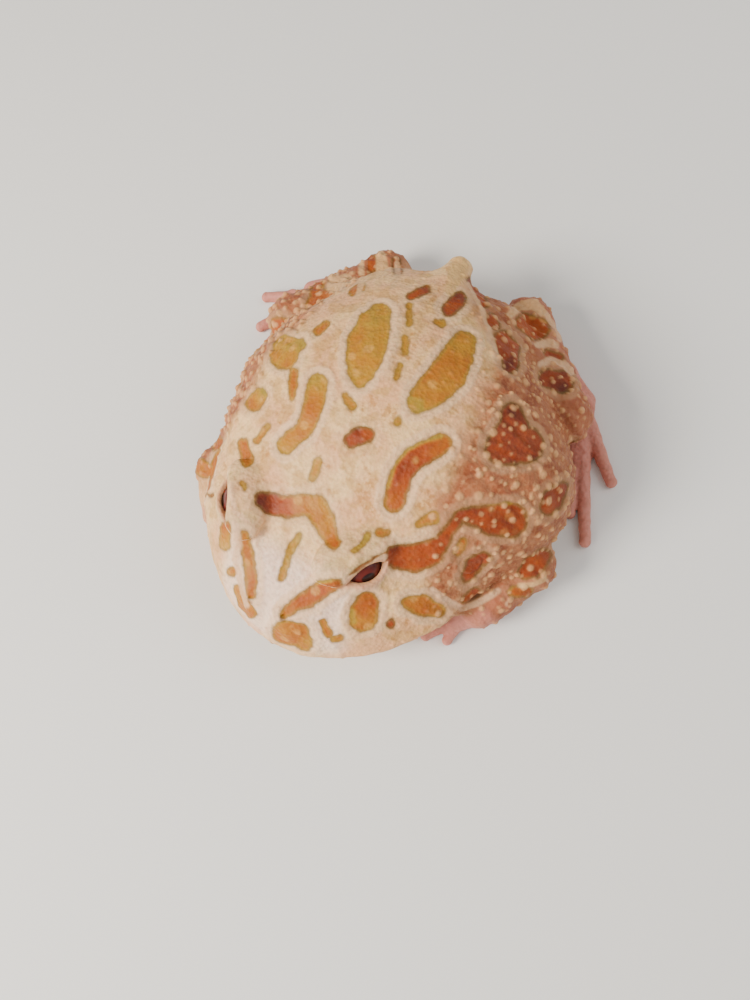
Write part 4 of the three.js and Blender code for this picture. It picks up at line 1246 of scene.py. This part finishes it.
def skin_material():
    n = Nodes("frog_skin")
    tone = n.attribute("tone")
    flank = n.attribute("flank")
    ragged = n.math("SUBTRACT", n.noise(0.0016, 3, 3), 0.5)
    mark = n.plus(n.attribute("mark"), n.times(ragged, 1.1))
    cloud = n.noise(0.011, 3, 1)
    mottle = n.noise(0.0036, 4, 2)
    patchy = n.noise(0.0062, 4, 6, 0.6)
    fine = n.noise(0.0009, 2, 5)
    # Plain skin of the back, snout, flank, belly, limbs, lids and feet
    base = n.mix(n.smooth(cloud, 0.4, 0.62), CREAM, PINK_CREAM)
    base = n.mix(n.smooth(mottle, 0.48, 0.6), base, TAN_CREAM, 0.6)
    spotted = n.times(n.smooth(patchy, 0.56, 0.64), n.smooth(fine, 0.3, 0.6))
    base = n.mix(spotted, base, OCHRE, 0.6)
    # The snout painted near white: its pale skin with a painted sheen
    base = n.mix(n.attribute("face"), base, SNOUT_PALE_AND_SHEEN, 0.7)
    # The flank: its own red brown with painted shade and a painted red reflection, kept off the lit
    # right side as painted light
    side = n.mix(n.smooth(mottle, 0.42, 0.58), FLANK, FLANK_RED)
    side = n.mix(n.smooth(fine, 0.45, 0.62), side, FLANK_SPECK, 0.45)
    base = n.mix(flank, base, side, 0.92)
    base = n.mix(n.attribute("belly"), base, BELLY)
    limb_color = n.mix(n.smooth(cloud, 0.4, 0.66), LIMB_SKIN, FLANK)
    base = n.mix(n.attribute("limb"), base, limb_color)
    lid_color = n.mix(n.smooth(mottle, 0.4, 0.6), LID_SKIN, LID_GREEN)
    base = n.mix(n.attribute("lid"), base, lid_color, 0.45)
    base = n.mix(n.attribute("foot"), base, FOOT_SKIN)
    # Blotches with a pale halo, small dots and a fine dark edge
    halo = n.times(n.attribute("rim"), n.smooth(mark, 2.1, 1.2))
    halo = n.times(halo, n.plus(n.times(mottle, 0.5), 0.6))
    base = n.mix(halo, base, n.mix(flank, HALO, FLANK_HALO))
    varied = n.times(n.math("SUBTRACT", mottle, 0.5), 0.5)
    fill = n.ramp(n.plus(tone, varied), TONES)
    dots = n.times(n.smooth(n.pebbles(0.0042), 0.32, 0.18), n.smooth(tone, 0.86, 0.7))
    fill = n.mix(dots, fill, BLOTCH_DOT, 0.55)
    edge_color = n.mix(n.smooth(tone, 0.5, 0.8), YELLOW_EDGE, EDGE_LINE)
    fill = n.mix(n.smooth(mark, -1.0, -0.2), fill, edge_color, 0.45)
    color = n.mix(n.smooth(mark, 0.18, -0.18), base, fill)
    line = n.times(n.smooth(mark, -0.7, -0.1), n.smooth(mark, 0.5, 0.1))
    color = n.mix(line, color, EDGE_LINE, 0.4)
    # Warts, the mouth, pale marks, the rims of the eyes and the grain
    wart = n.attribute("wart")
    color = n.mix(n.times(wart, n.smooth(mark, -9.0, -0.2)), color, WART, 0.62)
    color = n.mix(wart, color, WART_SKIRT, 0.4)
    color = n.mix(n.attribute("mouth"), color, MOUTH_LINE, 0.7)
    pale = n.mix(n.attribute("yellow"), PALE, PALE_YELLOW)
    color = n.mix(n.attribute("pale"), color, pale, 0.8)
    color = n.mix(n.attribute("eyerim"), color, EYE_RIM)
    color = n.mix(n.smooth(fine, 0.42, 0.7), color, FINE_GRAIN, 0.2)
    grain = n.bump(n.pebbles(0.0009), 0.0003, 0.5)
    return n.shade({
        "Base Color": color,
        "Roughness": n.plus(n.times(fine, 0.3), 0.42),
        "Normal": n.bump(n.noise(0.0005, 3, 9), 0.0002, 0.4, grain),
        "Subsurface Weight": 0.18,
        "Subsurface Radius": (1.0, 0.42, 0.24),
        "Subsurface Scale": 0.001,
        "Specular IOR Level": 0.22,
        "Coat Weight": 0.05,
        "Coat Roughness": 0.3,
    })


def eye_material(name, side):
    """Ruby iris darkened all over as painted shade from the lids, with a level pupil, seen through a
    wet surface.
    """
    n = Nodes(name)
    centre = eye_centre(side)

    def measured(axis):
        """How far a place lies along an axis from the eye's middle, in its radii."""
        node = n.new("ShaderNodeVectorMath", operation="DOT_PRODUCT")
        n.put(n.places, node.inputs[0])
        node.inputs[1].default_value = tuple(float(v) for v in axis / (EYE_RADIUS * MM))
        return n.math("SUBTRACT", node.outputs["Value"], float(centre @ axis / EYE_RADIUS))

    u, v = (measured(axis) for axis in eye_axes(side)[:2])
    oval = n.math("SQRT", n.plus(n.square(n.times(u, 0.72)), n.square(v)))
    reach = n.math("SQRT", n.plus(n.square(u), n.square(v)))
    # Iris colours darkened as painted shade from the lids
    iris = n.mix(n.smooth(n.noise(0.0007, 4, 1), 0.4, 0.65), SHADED_IRIS, IRIS_VEIN)
    iris = n.mix(n.smooth(reach, 0.3, 0.62), IRIS_INNER, iris)
    color = n.mix(n.smooth(oval, 0.2, 0.27), PUPIL, iris)
    color = n.mix(n.smooth(reach, 0.66, 0.8), color, IRIS_EDGE)
    return n.shade({
        "Base Color": color,
        "Roughness": 0.3,
        "Specular IOR Level": 0.3,
        "Coat Weight": 0.12,
        "Coat Roughness": 0.08,
    })


def floor_material():
    n = Nodes("floor")
    color = n.mix(n.noise(0.05, 2, 1), FLOOR_DARK, FLOOR_LIGHT)
    return n.shade({"Base Color": color, "Roughness": 0.7})


# Pieces


def make_skin():
    points, quads = net(field_grid())
    points, way = settled(points)
    zones = body_zones(points, way)
    distance, tone, rim, pale, yellow = markings(points, way)
    lift, warts = relief(points, zones, distance, rim)
    resting = smooth(0.05, 0.8, points[:, 2])
    points = points + way * (lift * resting)[:, None]
    points[:, 2] = np.maximum(points[:, 2], 0)
    piece = new_object("skin", points, quads, skin_material())
    layers = {"mark": np.clip(distance, -8, 8), "tone": tone, "rim": rim, "wart": warts}
    layers.update({"pale": pale, "yellow": yellow, "eyerim": zones["rim"] * 0.6})
    for name in ("flank", "belly", "limb", "foot", "lid", "mouth", "face"):
        layers[name] = zones[name]
    for name, values in layers.items():
        layer = piece.data.attributes.new(name, "FLOAT", "POINT")
        layer.data.foreach_set("value", np.asarray(values, np.float32))
    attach(piece, "root")
    covered = [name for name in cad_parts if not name.startswith("eye_")]
    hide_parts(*covered)


EYEBALL_RINGS = 48
EYEBALL_SEGMENTS = 96
EYEBALL_GAP = 0.05  # how much smaller the eyeball is than the eye's radius


def ball_mesh(name, centre, radius, material):
    rings, segments = EYEBALL_RINGS, EYEBALL_SEGMENTS
    i, j = np.meshgrid(np.arange(rings + 1), np.arange(segments), indexing="ij")
    polar, turn = math.pi * i / rings, 2 * math.pi * j / segments
    sine = radius * np.sin(polar)
    points = np.stack([sine * np.cos(turn), sine * np.sin(turn), radius * np.cos(polar)], -1)
    here = (i * segments + j)[:-1]
    beside = (i * segments + (j + 1) % segments)[:-1]
    faces = np.stack([here, here + segments, beside + segments, beside], -1)
    return new_object(name, points.reshape(-1, 3) + centre, faces.reshape(-1, 4), material)


def make_eyes():
    for name, side in SIDES.items():
        material = eye_material("iris_" + name, side)
        radius = EYE_RADIUS - EYEBALL_GAP
        piece = ball_mesh("eyeball_" + name, eye_centre(side), radius, material)
        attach(piece, "root")
        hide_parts("eye_" + name)


# Lights in metres: place, size, power and colour
LIGHTS = {
    "key": ((-0.3, -0.38, 0.4), 0.3, 6.3, (1, 0.93, 0.83)),
    "fill": ((0.4, 0.25, 0.4), 0.5, 1.5, (1, 1, 1)),
    "front": ((-0.05, -0.5, 0.3), 0.4, 0.9, (1, 1, 1)),
}
LIGHT_TARGET = (0, 0, 0.02)
SKY_COLOR = (1.0, 0.98, 0.94, 1)
SKY_STRENGTH = 0.5
FLOOR_HALF = 3.0


def add_light(name, place, size, power, color):
    data = bpy.data.lights.new(name, "AREA")
    data.shape = "DISK"
    data.size = size
    data.energy = power
    data.color = color
    light = bpy.data.objects.new(name, data)
    way = Vector(LIGHT_TARGET) - Vector(place)
    light.matrix_world = Matrix.Translation(place) @ way.to_track_quat("-Z", "Y").to_matrix().to_4x4()
    bpy.context.scene.collection.objects.link(light)


def make_stage():
    corners = np.array([(-1, -1, 0), (1, -1, 0), (1, 1, 0), (-1, 1, 0)]) * FLOOR_HALF
    floor = new_object("floor", corners / MM, np.array([(0, 1, 2, 3)]), floor_material())
    floor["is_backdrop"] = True
    for name, settings in LIGHTS.items():
        add_light(name, *settings)
    world = bpy.data.worlds.new("studio")
    bpy.context.scene.world = world
    world.use_nodes = True
    sky = world.node_tree.nodes["Background"].inputs
    sky["Color"].default_value = SKY_COLOR
    sky["Strength"].default_value = SKY_STRENGTH


make_camera()
make_stage()
make_skin()
make_eyes()

boxes = {"cad": cad_box, "visual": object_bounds()}
{k: [[float(v) for v in corner] for corner in b] for k, b in boxes.items()}
